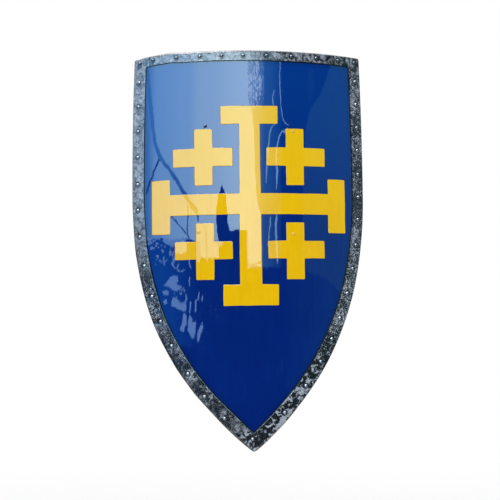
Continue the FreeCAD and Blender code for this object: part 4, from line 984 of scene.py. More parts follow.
def make_effect(name, outputs, fill):
    """A shared effect: a node group built once, with the place going in."""
    tree = bpy.data.node_groups.new(name, "ShaderNodeTree")
    tree.interface.new_socket("Place", in_out="INPUT", socket_type="NodeSocketVector")
    for label in outputs:
        tree.interface.new_socket(label, in_out="OUTPUT", socket_type="NodeSocketFloat")
    start = tree.nodes.new("NodeGroupInput")
    end = tree.nodes.new("NodeGroupOutput")
    fill(Board(tree), start.outputs["Place"], end.inputs)
    return tree


# How far up, in metres, the finish changes from the side strips' to the top strip's,
# where the rivets also take a painted dark reflection.
TOP_STRIP_RISE = (0.205, 0.215)


def fill_dabs(board, place, out):
    """Light dabs rubbed over a dark finish: fine flecks and streaks, larger towards the point."""
    point = board.split(place)
    top = board.step(point[2], *TOP_STRIP_RISE)
    blotchy = board.sum("MAXIMUM", board.step(point[2], -0.26, -0.40),
                        board.sum("MULTIPLY", top, 0.75))
    lower_left = board.zone(point, (0.0, -0.04), (-0.20, -0.27))
    lower_right = board.zone(point, (0.02, 0.06), (-0.16, -0.25))
    upper_right = board.zone(point, (0.0, 0.05), (0.08, 0.16))

    fine = board.noise(place, 430.0, detail=3.0, rough=0.6, twist=1.0)
    strokes = []
    for turn in (0.75, -0.6):
        slanted = board.add("Mapping", {"Vector": place, "Rotation": (0, turn, 0),
                                        "Scale": (0.0021, 0.0021, 0.0078)}, vector_type="TEXTURE")
        strokes.append(board.noise(slanted.outputs[0], 1.0, detail=3.0, rough=0.6, twist=0.9))
    streaks = board.sum("SUBTRACT", board.sum("MAXIMUM", *strokes), 0.055)
    small = board.between(0.55, fine, streaks)
    patches = board.noise(place, 105.0, detail=4.0, rough=0.6, twist=0.7)
    size = board.between(blotchy, 0.12, board.between(lower_left, 0.85, 0.50))
    lean = board.between(size, small, patches)
    broad = board.sum("SUBTRACT", board.noise(place, 19.0, detail=2.0), 0.5)
    lean = board.sum("MULTIPLY_ADD", broad, 0.20, lean)
    worn = board.sum("MULTIPLY_ADD", lower_left, 0.45, lower_right)
    lean = board.sum("MULTIPLY_ADD", worn, 0.030, lean)
    lean = board.sum("MULTIPLY_ADD", upper_right, 0.015, lean)

    rubbed = board.sum("MULTIPLY_ADD", board.step(small, 0.40, 0.60), 0.5, 0.5)
    crisp = board.sum("MULTIPLY", board.step(lean, 0.515, 0.575),
                      board.between(blotchy, 1.0, rubbed))
    dull = board.sum("MULTIPLY", board.step(lean, 0.47, 0.60), 0.80)
    soft = board.sum("MULTIPLY", board.step(lean, 0.44, 0.66), 0.9)
    sides = board.between(lower_left, crisp, dull)
    board.feed(out["Bright"], board.between(top, sides, soft))
    board.feed(out["Height"], lean)


def fill_scratches(board, place, out):
    """Fine hairlines in two directions, seen only here and there."""
    first = board.noise(board.stretch(place, 900.0, 900.0, 26.0), 1.0, detail=2.0, rough=0.5)
    second = board.noise(board.stretch(place, 40.0, 700.0, 700.0), 1.0, detail=2.0, rough=0.5)
    where = board.step(board.noise(place, 14.0, detail=3.0), 0.5, 0.68)
    lines = board.sum("MAXIMUM", board.step(first, 0.66, 0.72), board.step(second, 0.68, 0.73))
    board.feed(out["Lines"], board.sum("MULTIPLY", lines, where))


def fill_grain(board, place, out):
    """Leather: pebbled pores, soft creases across the strap and uneven dye."""
    cells = board.add("TexVoronoi", {"Vector": place, "Scale": 1150.0}, feature="SMOOTH_F1")
    fine = board.noise(place, 2400.0, detail=3.0, rough=0.6)
    folds = board.stretch(place, 60.0, 260.0, 260.0)
    wrinkles = board.noise(folds, 1.0, detail=4.0, rough=0.6, twist=1.2)
    height = board.sum("MULTIPLY_ADD", cells.outputs[0], 0.55, board.sum("MULTIPLY", fine, 0.25))
    height = board.sum("MULTIPLY_ADD", wrinkles, 0.6, height)
    board.feed(out["Height"], height)
    board.feed(out["Dye"], board.noise(place, 55.0, detail=5.0, rough=0.6))
    board.feed(out["Rubbed"], board.step(wrinkles, 0.56, 0.7))


def fill_dust(board, place, out):
    """Fine dust that lies on what faces up, in soft uneven patches."""
    normal = board.add("NewGeometry").outputs["Normal"]
    up = board.split(normal)[2]
    patches = board.noise(place, 120.0, detail=4.0, rough=0.65)
    lies = board.sum("MULTIPLY", board.step(up, 0.55, 1.0), board.step(patches, 0.42, 0.7))
    board.feed(out["Dust"], lies)


DABS = make_effect("rubbed_dabs", ["Bright", "Height"], fill_dabs)
SCRATCHES = make_effect("hairlines", ["Lines"], fill_scratches)
GRAIN = make_effect("leather_grain", ["Height", "Dye", "Rubbed"], fill_grain)
DUST = make_effect("settled_dust", ["Dust"], fill_dust)


def start_finish(name):
    """A new material with its board, main shader and the piece's own place."""
    material = bpy.data.materials.new(name)
    material.use_nodes = True
    board = Board(material.node_tree)
    shader = material.node_tree.nodes["Principled BSDF"]
    place = board.add("TexCoord").outputs["Object"]
    return material, board, shader, place


def effect(board, group, place):
    """What a shared effect gives at the piece's place."""
    item = board.add("Group", node_tree=group)
    board.feed(item.inputs["Place"], place)
    return item.outputs


def faded(colour, share):
    """The colour made darker or lighter by a share."""
    return [min(1.0, part * share) for part in colour[:3]] + [1]


def dusty(board, place, colour, amount, dust):
    """A colour with dust on what faces up."""
    lies = effect(board, DUST, place)["Dust"]
    return board.mix(board.sum("MULTIPLY", lies, amount), colour, dust)


def settle(shader, values):
    """Sets the shader's constant values."""
    for key, value in values.items():
        shader.inputs[key].default_value = value


def marked(board, label):
    """A value that the piece's own mesh carries, in millimetres."""
    return board.add("Attribute", attribute_name=label).outputs["Fac"]


def enamel(name, deep, light, high, coat_ior, peel_depth, grimy_and_shaded=False):
    """Fired gloss enamel: deep colour under a clear hard coat with a faint orange peel,
    lighter towards the top as painted light, and darker by the rim as painted shade where asked.
    """
    material, board, shader, place = start_finish(name)
    clouds = board.noise(place, 9.0, detail=5.0, rough=0.55, twist=0.4)
    streaks = board.noise(board.stretch(place, 160.0, 160.0, 18.0), 1.0, detail=3.0)
    shade = board.sum("MULTIPLY_ADD", streaks, 0.35, board.sum("MULTIPLY", clouds, 0.65))
    colour = board.mix(board.step(shade, 0.34, 0.66), deep, light)
    # Painted light: the colour turns to the lighter third one towards the top, as if lit more from above.
    rise = board.step(board.split(place)[2], -0.12, 0.2)
    colour = board.mix(rise, colour, high)
    specks = board.step(board.noise(place, 1400.0, detail=2.0, rough=0.7), 0.74, 0.80)
    colour = board.mix(board.sum("MULTIPLY", specks, 0.35), colour, faded(deep, 0.35))
    lines = effect(board, SCRATCHES, place)["Lines"]
    colour = board.mix(board.sum("MULTIPLY", lines, 0.05), colour, (0.40, 0.55, 0.70, 1))
    if grimy_and_shaded:
        # Painted shade of the rim, with some grime: darker within 12 mm of it, darkest in a thin line at
        # its edge.
        clear = marked(board, "clear_of_rim")
        grime_and_shade = board.sum("MULTIPLY_ADD", board.step(clear, 12.0, 1.5), 0.18,
                          board.sum("MULTIPLY", board.step(clear, 2.1, 0.9), 0.72))
        colour = board.mix(grime_and_shade, colour, (0.004, 0.006, 0.010, 1))
    board.feed(shader.inputs["Base Color"], colour)
    board.feed(shader.inputs["Roughness"], board.between(shade, 0.42, 0.55))
    peel = board.noise(place, 330.0, detail=3.0, rough=0.6)
    patchy = board.step(board.noise(place, 26.0, detail=2.0), 0.38, 0.62)
    peel = board.sum("MULTIPLY", peel, board.between(patchy, 0.05, 0.45))
    sag = board.noise(board.stretch(place, 55.0, 55.0, 16.0), 1.0, detail=2.0)
    surface = board.bump(sag, 0.20, 0.00022)
    surface = board.bump(peel, 1.0, peel_depth, surface)
    board.feed(shader.inputs["Coat Normal"], surface)
    board.feed(shader.inputs["Normal"], board.bump(lines, 0.25, 0.00003, surface))
    settle(shader, {"Coat Weight": 1.0, "Coat Roughness": 0.012, "Coat IOR": coat_ior,
                    "Specular IOR Level": 0.0})
    return material


def rubbed_share(board, place, point):
    """How far the rim may be rubbed bright: less in hollows, at seams and low on the left,
    and less on its inner edge, which is partly dark finish and partly painted shade.
    """
    hollow_mark, clear = marked(board, "hollow"), marked(board, "clear_of_rim")
    deep = board.sum("MULTIPLY", board.step(hollow_mark, 0.15, 0.75), 0.9)
    # The inner edge stays dark: partly unrubbed finish, partly painted shade of the gap by the enamel.
    inner_edge_dark_and_shade = board.sum("MULTIPLY", board.step(clear, -1.5, -0.6), 0.9)
    seam = board.sum("MULTIPLY", board.step(hollow_mark, 1.2, 1.8), 0.9)
    left = board.step(point[0], 0.0, -0.03)
    sparse = board.sum("MULTIPLY_ADD", board.step(point[2], -0.37, -0.40), 0.32,
                       board.sum("MULTIPLY", board.step(point[2], -0.14, -0.19), 0.06))
    blots = board.step(board.noise(place, 46.0, detail=3.0, rough=0.6), 0.465, 0.53)
    unrubbed = board.sum("MULTIPLY", blots, board.zone(point, (0.0, -0.03), (-0.11, -0.17)))
    open_share = board.sum("SUBTRACT", 1.0, board.sum("MAXIMUM", deep, inner_edge_dark_and_shade))
    for covered in (board.sum("MULTIPLY", left, sparse), board.sum("MULTIPLY", unrubbed, 0.64),
                    seam):
        open_share = board.sum("MULTIPLY", open_share, board.sum("SUBTRACT", 1.0, covered))
    return open_share


def rim_finish():
    """Steel with a dark antique finish, rubbed back to bright patches and pitted."""
    material, board, shader, place = start_finish("antique_rim_steel")
    dabs = effect(board, DABS, place)
    point = board.split(place)
    lower_left = board.zone(point, (0.07, -0.02), (-0.22, -0.06))
    cloud = board.step(board.noise(place, 110.0, detail=6.0, rough=0.80, twist=0.8), 0.36, 0.66)
    cloud = board.sum("MULTIPLY_ADD", cloud, 0.62, board.sum("MULTIPLY", dabs["Bright"], 0.26))
    bright = board.between(lower_left, dabs["Bright"], cloud)
    bright = board.sum("MULTIPLY", bright, rubbed_share(board, place, point))
    tone = board.noise(place, 24.0, detail=3.0)
    dark = board.mix(tone, (0.002, 0.004, 0.007, 1), (0.010, 0.014, 0.020, 1))
    steel = board.mix(tone, (0.38, 0.44, 0.52, 1), (0.64, 0.71, 0.82, 1))
    colour = board.mix(bright, dark, steel)
    # Darker along the outer rolled edge: painted shade where the roll turns away, with some wear.
    roll_shade_and_wear = board.sum("MULTIPLY", board.step(marked(board, "edge_inset"), 4.5, 1.0), 0.45)
    colour = board.mix(roll_shade_and_wear, colour, (0.012, 0.014, 0.018, 1))
    colour = dusty(board, place, colour, 0.12, (0.24, 0.25, 0.26, 1))
    board.feed(shader.inputs["Base Color"], colour)
    board.feed(shader.inputs["Metallic"], board.between(bright, 0.0, 0.30))
    board.feed(shader.inputs["Roughness"], board.between(bright, 0.55, 0.45))
    settle(shader, {"Coat Weight": 1.0, "Coat Roughness": 0.13, "Coat IOR": 1.70,
                    "Specular IOR Level": 0.1})
    pits = board.add("TexVoronoi", {"Vector": place, "Scale": 520.0}, feature="SMOOTH_F1")
    surface = board.bump(dabs["Height"], 0.8, 0.0003)
    surface = board.bump(pits.outputs[0], 0.3, 0.00015, surface)
    board.feed(shader.inputs["Normal"], surface)
    return material


def rim_edge_dark_and_shade_finish():
    """The strips' cut edge, where the dark finish was never rubbed off;
    its darkness is partly painted shade of the gap by the enamel.
    """
    material, board, shader, place = start_finish("rim_edge_shaded_steel")
    bright = effect(board, DABS, place)["Bright"]
    colour = board.mix(board.sum("MULTIPLY", bright, 0.3), (0.004, 0.007, 0.011, 1),
                       (0.30, 0.34, 0.40, 1))
    board.feed(shader.inputs["Base Color"], colour)
    board.feed(shader.inputs["Roughness"], board.between(bright, 0.75, 0.6))
    settle(shader, {"Specular IOR Level": 0.15})
    board.feed(shader.inputs["Normal"], board.bump(board.noise(place, 500.0, detail=3.0), 0.3, 0.0002))
    return material


def facing_outward(board, point):
    """How much a surface faces away from the roll's axis, from -1 to 1."""
    normal = board.add("NewGeometry").outputs["Normal"]
    back = board.sum("SUBTRACT", point[1], AXIS_Y * MM)
    arm = board.add("CombineXYZ", {0: point[0], 1: back}).outputs[0]
    arm = board.add("VectorMath", {0: arm}, operation="NORMALIZE").outputs[0]
    return board.add("VectorMath", {0: normal, 1: arm}, operation="DOT_PRODUCT").outputs["Value"]


def rivet_finish(name, steel, painted=None):
    """Domed steel: polished on top, dark round its foot, painted in front where it is asked.
    The dark foot is partly dark finish and partly painted shade of the dome's steep edge,
    and the top strip's rivets are darker as a painted dark reflection.
    """
    material, board, shader, place = start_finish(name)
    point = board.split(place)
    facing = facing_outward(board, point)
    # Dark round the dome's foot: partly dark finish, partly painted shade of its steep edge.
    flat = board.step(board.sum("ABSOLUTE", facing), 0.42, 0.62)
    dabs = effect(board, DABS, place)["Bright"]
    metal = board.mix(dabs, faded(steel, 0.6), steel)
    # Painted dark reflection: the rivets of the top strip are darker.
    painted_dark_reflection = board.sum("MULTIPLY", board.step(point[2], *TOP_STRIP_RISE), 0.55)
    metal = board.mix(painted_dark_reflection, metal, (0.03, 0.04, 0.05, 1))
    colour = board.mix(flat, (0.012, 0.014, 0.018, 1), metal)
    metallic, rough = 1.0, board.between(dabs, 0.34, 0.22)
    if painted:
        front = board.step(facing, 0.05, 0.3)
        paint = board.mix(board.zone(point, (-0.01, -0.03), (0.0, 0.03)), *painted)
        colour = board.mix(front, colour, paint)
        metallic = board.between(front, 1.0, 0.0)
        rough = board.between(front, rough, 0.28)
        settle(shader, {"Coat Weight": 0.6, "Coat Roughness": 0.06, "Coat IOR": 1.6})
    board.feed(shader.inputs["Base Color"], colour)
    board.feed(shader.inputs["Metallic"], metallic)
    board.feed(shader.inputs["Roughness"], rough)
    dents = board.noise(place, 480.0, detail=3.0, rough=0.5)
    board.feed(shader.inputs["Normal"], board.bump(dents, 0.25, 0.0004))
    return material


def worked_steel(name, colour, rough, brushed):
    """Plain or nickelled steel with hairlines, a little tarnish in patches and dust."""
    material, board, shader, place = start_finish(name)
    tarnish = board.step(board.noise(place, 130.0, detail=5.0, rough=0.62, twist=0.5), 0.45, 0.7)
    tarnished = (colour[0] * 0.5, colour[1] * 0.45, colour[2] * 0.38, 1)
    shade = board.mix(board.sum("MULTIPLY", tarnish, 0.55), colour, tarnished)
    shade = dusty(board, place, shade, 0.25, (0.3, 0.27, 0.23, 1))
    lines = effect(board, SCRATCHES, place)["Lines"]
    board.feed(shader.inputs["Base Color"], shade)
    scratched = board.sum("MULTIPLY_ADD", lines, 0.15, rough)
    board.feed(shader.inputs["Roughness"], board.sum("MULTIPLY_ADD", tarnish, 0.2, scratched))
    surface = board.bump(board.noise(place, 900.0, detail=3.0), brushed, 0.0001)
    board.feed(shader.inputs["Normal"], board.bump(lines, 0.3, 0.00005, surface))
    settle(shader, {"Metallic": 1.0})
    return material


def back_finish():
    """The hollow side: satin black paint over steel, rubbed thin in places."""
    material, board, shader, place = start_finish("back_paint")
    clouds = board.noise(place, 12.0, detail=5.0, rough=0.6, twist=0.3)
    colour = board.mix(clouds, (0.014, 0.015, 0.017, 1), (0.035, 0.036, 0.040, 1))
    worn = board.step(board.noise(place, 46.0, detail=6.0, rough=0.7, twist=0.4), 0.63, 0.70)
    colour = board.mix(board.sum("MULTIPLY", worn, 0.5), colour, (0.13, 0.125, 0.12, 1))
    lines = effect(board, SCRATCHES, place)["Lines"]
    colour = board.mix(board.sum("MULTIPLY", lines, 0.5), colour, (0.22, 0.22, 0.22, 1))
    colour = dusty(board, place, colour, 0.4, (0.25, 0.23, 0.2, 1))
    board.feed(shader.inputs["Base Color"], colour)
    board.feed(shader.inputs["Roughness"], board.between(clouds, 0.42, 0.58))
    peel = board.noise(place, 700.0, detail=3.0, rough=0.6)
    board.feed(shader.inputs["Normal"], board.bump(peel, 0.3, 0.00015))
    return material


def leather(name, deep, warm, rough):
    """Oiled leather: pores, creases, uneven dye, and lighter where it is rubbed."""
    material, board, shader, place = start_finish(name)
    grain = effect(board, GRAIN, place)
    colour = board.mix(board.step(grain["Dye"], 0.3, 0.7), deep, warm)
    colour = board.mix(board.sum("MULTIPLY", grain["Rubbed"], 0.35), colour, faded(warm, 1.9))
    edge = board.step(board.add("NewGeometry").outputs["Pointiness"], 0.53, 0.6)
    colour = board.mix(board.sum("MULTIPLY", edge, 0.5), colour, faded(deep, 0.4))
    colour = dusty(board, place, colour, 0.2, (0.3, 0.26, 0.2, 1))
    board.feed(shader.inputs["Base Color"], colour)
    board.feed(shader.inputs["Roughness"], board.between(grain["Rubbed"], rough, rough - 0.16))
    board.feed(shader.inputs["Normal"], board.bump(grain["Height"], 0.55, 0.00035))
    return material


def thread_finish():
    """Waxed linen thread, laid in two twisted plies."""
    material, board, shader, place = start_finish("waxed_thread")
    ply = board.add("TexWave", {"Vector": place, "Scale": 520.0, "Distortion": 1.5, "Detail": 1.0},
                    bands_direction="DIAGONAL")
    colour = board.mix(ply.outputs[1], (0.20, 0.15, 0.09, 1), (0.52, 0.43, 0.29, 1))
    board.feed(shader.inputs["Base Color"], colour)
    board.feed(shader.inputs["Normal"], board.bump(ply.outputs[1], 0.6, 0.0002))
    settle(shader, {"Roughness": 0.62})
    return material


BLUE = enamel("blue_enamel", (0.0008, 0.0170, 0.180, 1), (0.0013, 0.0220, 0.205, 1),
              (0.0012, 0.0390, 0.262, 1), 1.8, 0.000009, True)
YELLOW = enamel("yellow_enamel", (0.81, 0.495, 0.0022, 1), (0.88, 0.545, 0.0045, 1),
                (0.83, 0.545, 0.0100, 1), 1.58, 0.000006)
# Dark navy line round the yellow figures' foot: painted shade of the raised paint edge.
EDGE_SHADE_LINE = enamel("edge_shade_line_enamel", (0.0006, 0.0040, 0.022, 1), (0.0010, 0.0060, 0.035, 1),
                   (0.0008, 0.0070, 0.035, 1), 1.5, 0.000006)
RIM = [rim_finish(), rim_edge_dark_and_shade_finish()]
BACK = back_finish()
RIVET = rivet_finish("rivet_steel", (0.40, 0.43, 0.47, 1))
# The upper-left rivet's blue is far darker than the field's: painted shade on the dome.
PAINTED_RIVET = rivet_finish("painted_rivet", (0.40, 0.41, 0.42, 1),
                             ((0.72, 0.43, 0.006, 1), (0.002, 0.006, 0.030, 1)))
WASHER = worked_steel("washer_steel", (0.42, 0.42, 0.41, 1), 0.34, 0.4)
BUCKLE = worked_steel("nickelled_steel", (0.62, 0.61, 0.58, 1), 0.20, 0.15)
STRAP = leather("strap_leather", (0.045, 0.019, 0.008, 1), (0.095, 0.042, 0.017, 1), 0.56)
GRIP = leather("grip_leather", (0.018, 0.010, 0.007, 1), (0.042, 0.022, 0.013, 1), 0.50)
THREAD = thread_finish()


def refinish(nodes, material):
    """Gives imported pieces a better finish; their shape stays."""
    for name in nodes:
        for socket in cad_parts[name].material_slots:
            socket.material = material


# Putting the pieces on.

make_face_sheet(BLUE, BACK)
make_painted("painted_cross", [CROSS_POTENT], YELLOW, EDGE_SHADE_LINE, ["cross_potent_paint"])
make_painted("painted_crosslets", CROSSLETS, YELLOW, EDGE_SHADE_LINE, ["crosslets_paint"])
make_rim_strip("rim_strip_left", RIM, "rim_band_left", -1)
make_rim_strip("rim_strip_right", RIM, "rim_band_right", 1)
make_top_strip(RIM)

make_strap("forearm_billet_strap", FOREARM, billet_corners(), (True, True), STRAP,
           ["forearm_billet"], billet_holes(run_along(billet_corners())), 31)
make_strap("forearm_chape_strap", FOREARM, chape_corners(), (True, False), STRAP,
           ["forearm_chape"], None, 41)
make_strap("hand_strap_leather", HAND, hand_corners(), (True, True), STRAP,
           ["hand_strap"], None, 51)
make_grip(GRIP, THREAD)
make_keeper(STRAP, THREAD)

refinish(["rim_rivets_top", "rim_rivets_left", "rim_rivets_right", "rim_rivet_point"], RIVET)
refinish(["forearm_strap_rivets", "hand_strap_rivets"], PAINTED_RIVET)
refinish(["forearm_strap_washers", "hand_strap_washers"], WASHER)
refinish(["buckle_frame", "buckle_prong", "buckle_roller"], BUCKLE)


# The camera takes the photograph's view: a little low and to the left, in front of the face.

CAMERA = Vector((-0.1127, -1.9638, -0.2149))
AHEAD = Vector((0.05775, 0.99720, 0.04747)).normalized()
RIGHT = AHEAD.cross(Vector((0.00627, -0.04791, 0.99883))).normalized()
ABOVE = RIGHT.cross(AHEAD)
LENS, SENSOR, PICTURE = 78.2, 36.0, 500


def mirrored(x, y, reach):
    """Where on a sphere of that radius the rolled face mirrors, seen at a point of the picture."""
    focal = PICTURE * LENS / SENSOR
    ray = AHEAD + RIGHT * ((x - PICTURE / 2) / focal) + ABOVE * ((PICTURE / 2 - y) / focal)
    ray.normalize()
    axis = Vector((0, AXIS_Y * MM, 0))
    start = CAMERA - axis
    a = ray.x ** 2 + ray.y ** 2
    b = start.x * ray.x + start.y * ray.y
    c = start.x ** 2 + start.y ** 2 - (FACE_RADIUS * MM) ** 2
    hit = CAMERA + ray * ((-b - math.sqrt(max(b * b - a * c, 0.0))) / a)
    normal = Vector((hit.x, hit.y - axis.y, 0)).normalized()
    ray = ray - normal * (2 * ray.dot(normal))
    b = hit.dot(ray)
    return hit + ray * (math.sqrt(b * b - hit.dot(hit) + reach ** 2) - b)


# The studio: a pale floor, soft lamps, and a large screen that gloss and metal reflect.

def stage_piece(name, mesh, only_in_gloss=False):
    """Puts a piece of the studio in place, seen by all rays or by gloss and metal alone."""
    piece = bpy.data.objects.new(name, mesh)
    bpy.context.scene.collection.objects.link(piece)
    if only_in_gloss:
        for kind in ("camera", "diffuse", "transmission", "volume_scatter", "shadow"):
            setattr(piece, "visible_" + kind, False)


def start_light(name):
    """A material that only shines, still empty, with its board."""
    material = bpy.data.materials.new(name)
    material.use_nodes = True
    material.node_tree.nodes.clear()
    material.cycles.emission_sampling = "NONE"
    return material, Board(material.node_tree)


def shine(board, colour):
    """Lets a material shine in a colour."""
    glow = board.add("Emission", {"Color": colour, "Strength": 1.0})
    board.feed(board.add("OutputMaterial").inputs["Surface"], glow.outputs[0])


def seen_share(board, ray):
    """1 for what the camera sees directly, in gloss or through glass, and 0 for soft light."""
    seen = board.sum("ADD", ray["Is Camera Ray"], ray["Is Glossy Ray"])
    return board.sum("MINIMUM", board.sum("ADD", seen, ray["Is Transmission Ray"]), 1.0)


# The floor's middle behind the shield, its height, and its mesh, in metres.
FLOOR_MIDDLE, FLOOR_RISE = 0.1, -0.80
FLOOR_RINGS, FLOOR_AROUND = (0.5, 1.0, 1.5, 2.0, 2.4), 96


def make_floor():
    """Round pale floor whose far edge runs into the white background."""
    around = FLOOR_AROUND
    vertices = [(0, FLOOR_MIDDLE, FLOOR_RISE)]
    for reach in FLOOR_RINGS:
        for k in range(around):
            turn = 2 * math.pi * k / around
            vertices.append((reach * math.cos(turn), FLOOR_MIDDLE + reach * math.sin(turn),
                             FLOOR_RISE))
    faces = [(0, 1 + k, 1 + (k + 1) % around) for k in range(around)]
    for ring in range(len(FLOOR_RINGS) - 1):
        a, b = 1 + ring * around, 1 + (ring + 1) * around
        faces += [(a + k, b + k, b + (k + 1) % around, a + (k + 1) % around) for k in range(around)]
    mesh = bpy.data.meshes.new("floor")
    mesh.from_pydata(vertices, [], faces)
    stage_piece("floor", mesh)
    material, board, shader, place = start_finish("pale_floor")
    settle(shader, {"Base Color": (0.86, 0.86, 0.86, 1), "Roughness": 0.8,
                    "Specular IOR Level": 0.1})
    ray = board.add("LightPath").outputs
    point = board.split(place)
    reach = board.sum("POWER", board.sum("ADD", board.sum("POWER", point[0], 2.0),
                                         board.sum("POWER", point[1], 2.0)), 0.5)
    whiter = board.sum("MULTIPLY_ADD", board.step(reach, 0.9, 2.2), 0.3, 0.7)
    share = board.sum("MULTIPLY", seen_share(board, ray), whiter)
    dimmed = board.sum("MULTIPLY", ray["Is Glossy Ray"], board.step(reach, 0.3, 2.1))
    white = board.add("Emission", {"Color": (1, 1, 1, 1)})
    board.feed(white.inputs["Strength"], board.between(dimmed, 1.0, 0.03))
    mixed = board.add("MixShader", {0: share, 1: shader.outputs[0], 2: white.outputs[0]})
    output = material.node_tree.nodes["Material Output"]
    board.feed(output.inputs["Surface"], mixed.outputs[0])
    material.cycles.emission_sampling = "NONE"
    mesh.materials.append(material)


# The screen's distance, and the direction of its brightest field, up on the left in front.
SCREEN_REACH, SCREEN_LAMP = 20.0, (-0.37, -0.54, 0.75)


def make_screen():
    """Big curved studio screen, lit in fields: only gloss and metal see it."""
    reach, vertices, faces = SCREEN_REACH, [], []
    turns = [math.radians(a) for a in range(-116, 117, 4)]
    rises = [math.radians(a) for a in range(-72, 81, 4)]
    for rise in rises:
        for turn in turns:
            vertices.append((reach * math.cos(rise) * math.sin(turn),
                             -reach * math.cos(rise) * math.cos(turn), reach * math.sin(rise)))
    wide = len(turns)
    for i in range(len(rises) - 1):
        for j in range(wide - 1):
            a = i * wide + j
            faces.append((a, a + 1, a + wide + 1, a + wide))
    mesh = bpy.data.meshes.new("studio_screen")
    mesh.from_pydata(vertices, [], faces)
    stage_piece("studio_screen", mesh, only_in_gloss=True)
    material, board = start_light("screen_light")
    place = board.add("TexCoord").outputs["Object"]
    point = board.split(place)
    turn = board.sum("ARCTAN2", point[0], board.sum("MULTIPLY", point[1], -1.0))
    rise = board.sum("ARCSINE", board.sum("DIVIDE", point[2], reach))
    side = board.step(turn, -0.2, 0.5)
    room, lamp = (0.006, 0.014, 0.026, 1), (9.0, 9.2, 9.6, 1)
    upper = board.mix(side, (1.6, 1.7, 1.85, 1), (0.28, 0.35, 0.44, 1))
    lower = board.mix(side, (0.38, 0.44, 0.5, 1), (0.12, 0.14, 0.16, 1))
    colour = board.mix(board.step(rise, 0.27, 0.55), room, upper)
    colour = board.mix(board.step(rise, 0.75, 1.0), colour, (4.0, 4.1, 4.4, 1))
    colour = board.mix(board.step(rise, -0.3, -0.6), colour, lower)
    aim = board.add("VectorMath", {0: place}, operation="NORMALIZE").outputs[0]
    aim = board.add("VectorMath", {0: aim, 1: SCREEN_LAMP}, operation="DOT_PRODUCT")
    colour = board.mix(board.step(aim.outputs["Value"], 0.91, 0.94), colour, lamp)
    shine(board, colour)
    mesh.materials.append(material)


# Cards before the screen. Their outlines are places in the photo's view, in its pixels.

CARD_REACH, CARD_GAP = 19.9, 0.05
CARD_ACROSS, CARD_UP = range(96, 410, 8), range(-80, 460, 20)


def ragged(corners, amount, size, seed):
    """An outline with many points, unsteady by that amount."""
    points = []
    for a, b in zip(corners, corners[1:] + corners[:1]):
        a, b = Vector(a), Vector(b)
        steps = max(1, round((b - a).length / 1.5))
        points += [a.lerp(b, k / steps) for k in range(steps)]
    return [p + Vector((waves(p.x, p.y, size, seed), waves(p.x, p.y, size, seed + 1))) * amount
            for p in points]


def stroke(places, width):
    """A tapering line through places, as an outline."""
    places = [Vector(p) for p in places]
    line = []
    for k in range(len(places) - 1):
        p0, p1, p2, p3 = (places[min(max(k + d, 0), len(places) - 1)] for d in (-1, 0, 1, 2))
        for step in range(8):
            t = step / 8
            line.append((p1 * 2 + (p2 - p0) * t + (p0 * 2 - p1 * 5 + p2 * 4 - p3) * t ** 2
                         + (p1 * 3 - p0 - p2 * 3 + p3) * t ** 3) * 0.5)
    line.append(places[-1])
    left, right = [], []
    for k, point in enumerate(line):
        along = (line[min(k + 1, len(line) - 1)] - line[max(k - 1, 0)]).normalized()
        share = k / (len(line) - 1)
        half = width / 2 * min(1.0, 0.25 + 6 * share, 0.25 + 6 * (1 - share))
        left.append(point + Vector((-along.y, along.x)) * half)
        right.append(point - Vector((-along.y, along.x)) * half)
    return left + right[::-1]


def patch(x, y, wide, high, seed, amount=0.35):
    """A small ragged spot."""
    points = []
    for k in range(16):
        turn = 2 * math.pi * k / 16
        c, s = math.cos(turn), math.sin(turn)
        swell = 1 + amount * 2 * noise.noise(Vector((c * 1.7, s * 1.7, seed * 3.1)))
        points.append(Vector((x + wide / 2 * swell * c, y + high / 2 * swell * s)))
    return points


def spots(x, y, wide, high, count, size, seed):
    """Many small spots strewn over an oval."""
    made = []
    for k in range(count):
        a, r, s = (abs(noise.cell(Vector((k + 0.5, seed + 0.5, n + 0.5)))) for n in range(3))
        a, r, s = a * 2 * math.pi, math.sqrt(r), 0.5 + s
        made.append(patch(x + wide / 2 * r * math.cos(a), y + high / 2 * r * math.sin(a),
                          size[0] * s, size[1] * s, seed + k))
    return made


def make_card(name, outlines, layer, stops):
    """A lit or dark card before the screen; its outlines are where the face mirrors it."""
    reach = CARD_REACH - CARD_GAP * layer
    shape = bmesh.new()
    for outline in outlines:
        shape.faces.new([shape.verts.new((p[0], p[1], 0.0)) for p in outline])
    shape.normal_update()
    bmesh.ops.triangulate(shape, faces=shape.faces[:])
    slice_faces(shape, CARD_ACROSS, CARD_UP)
    mesh = bpy.data.meshes.new(name)
    shape.to_mesh(mesh)
    across = [vertex.co.x / PICTURE for vertex in mesh.vertices]
    for vertex in mesh.vertices:
        vertex.co = mirrored(vertex.co.x, vertex.co.y, reach)
    shape.free()
    mesh.attributes.new("across", "FLOAT", "POINT").data.foreach_set("value", across)
    stage_piece(name, mesh, only_in_gloss=True)
    material, board = start_light(name + "_light")
    colour = stops[0][1]
    for (here, _), (there, shade) in zip(stops, stops[1:]):
        share = board.step(marked(board, "across"), here / PICTURE, there / PICTURE)
        colour = board.mix(share, colour, shade)
    shine(board, colour)
    mesh.materials.append(material)


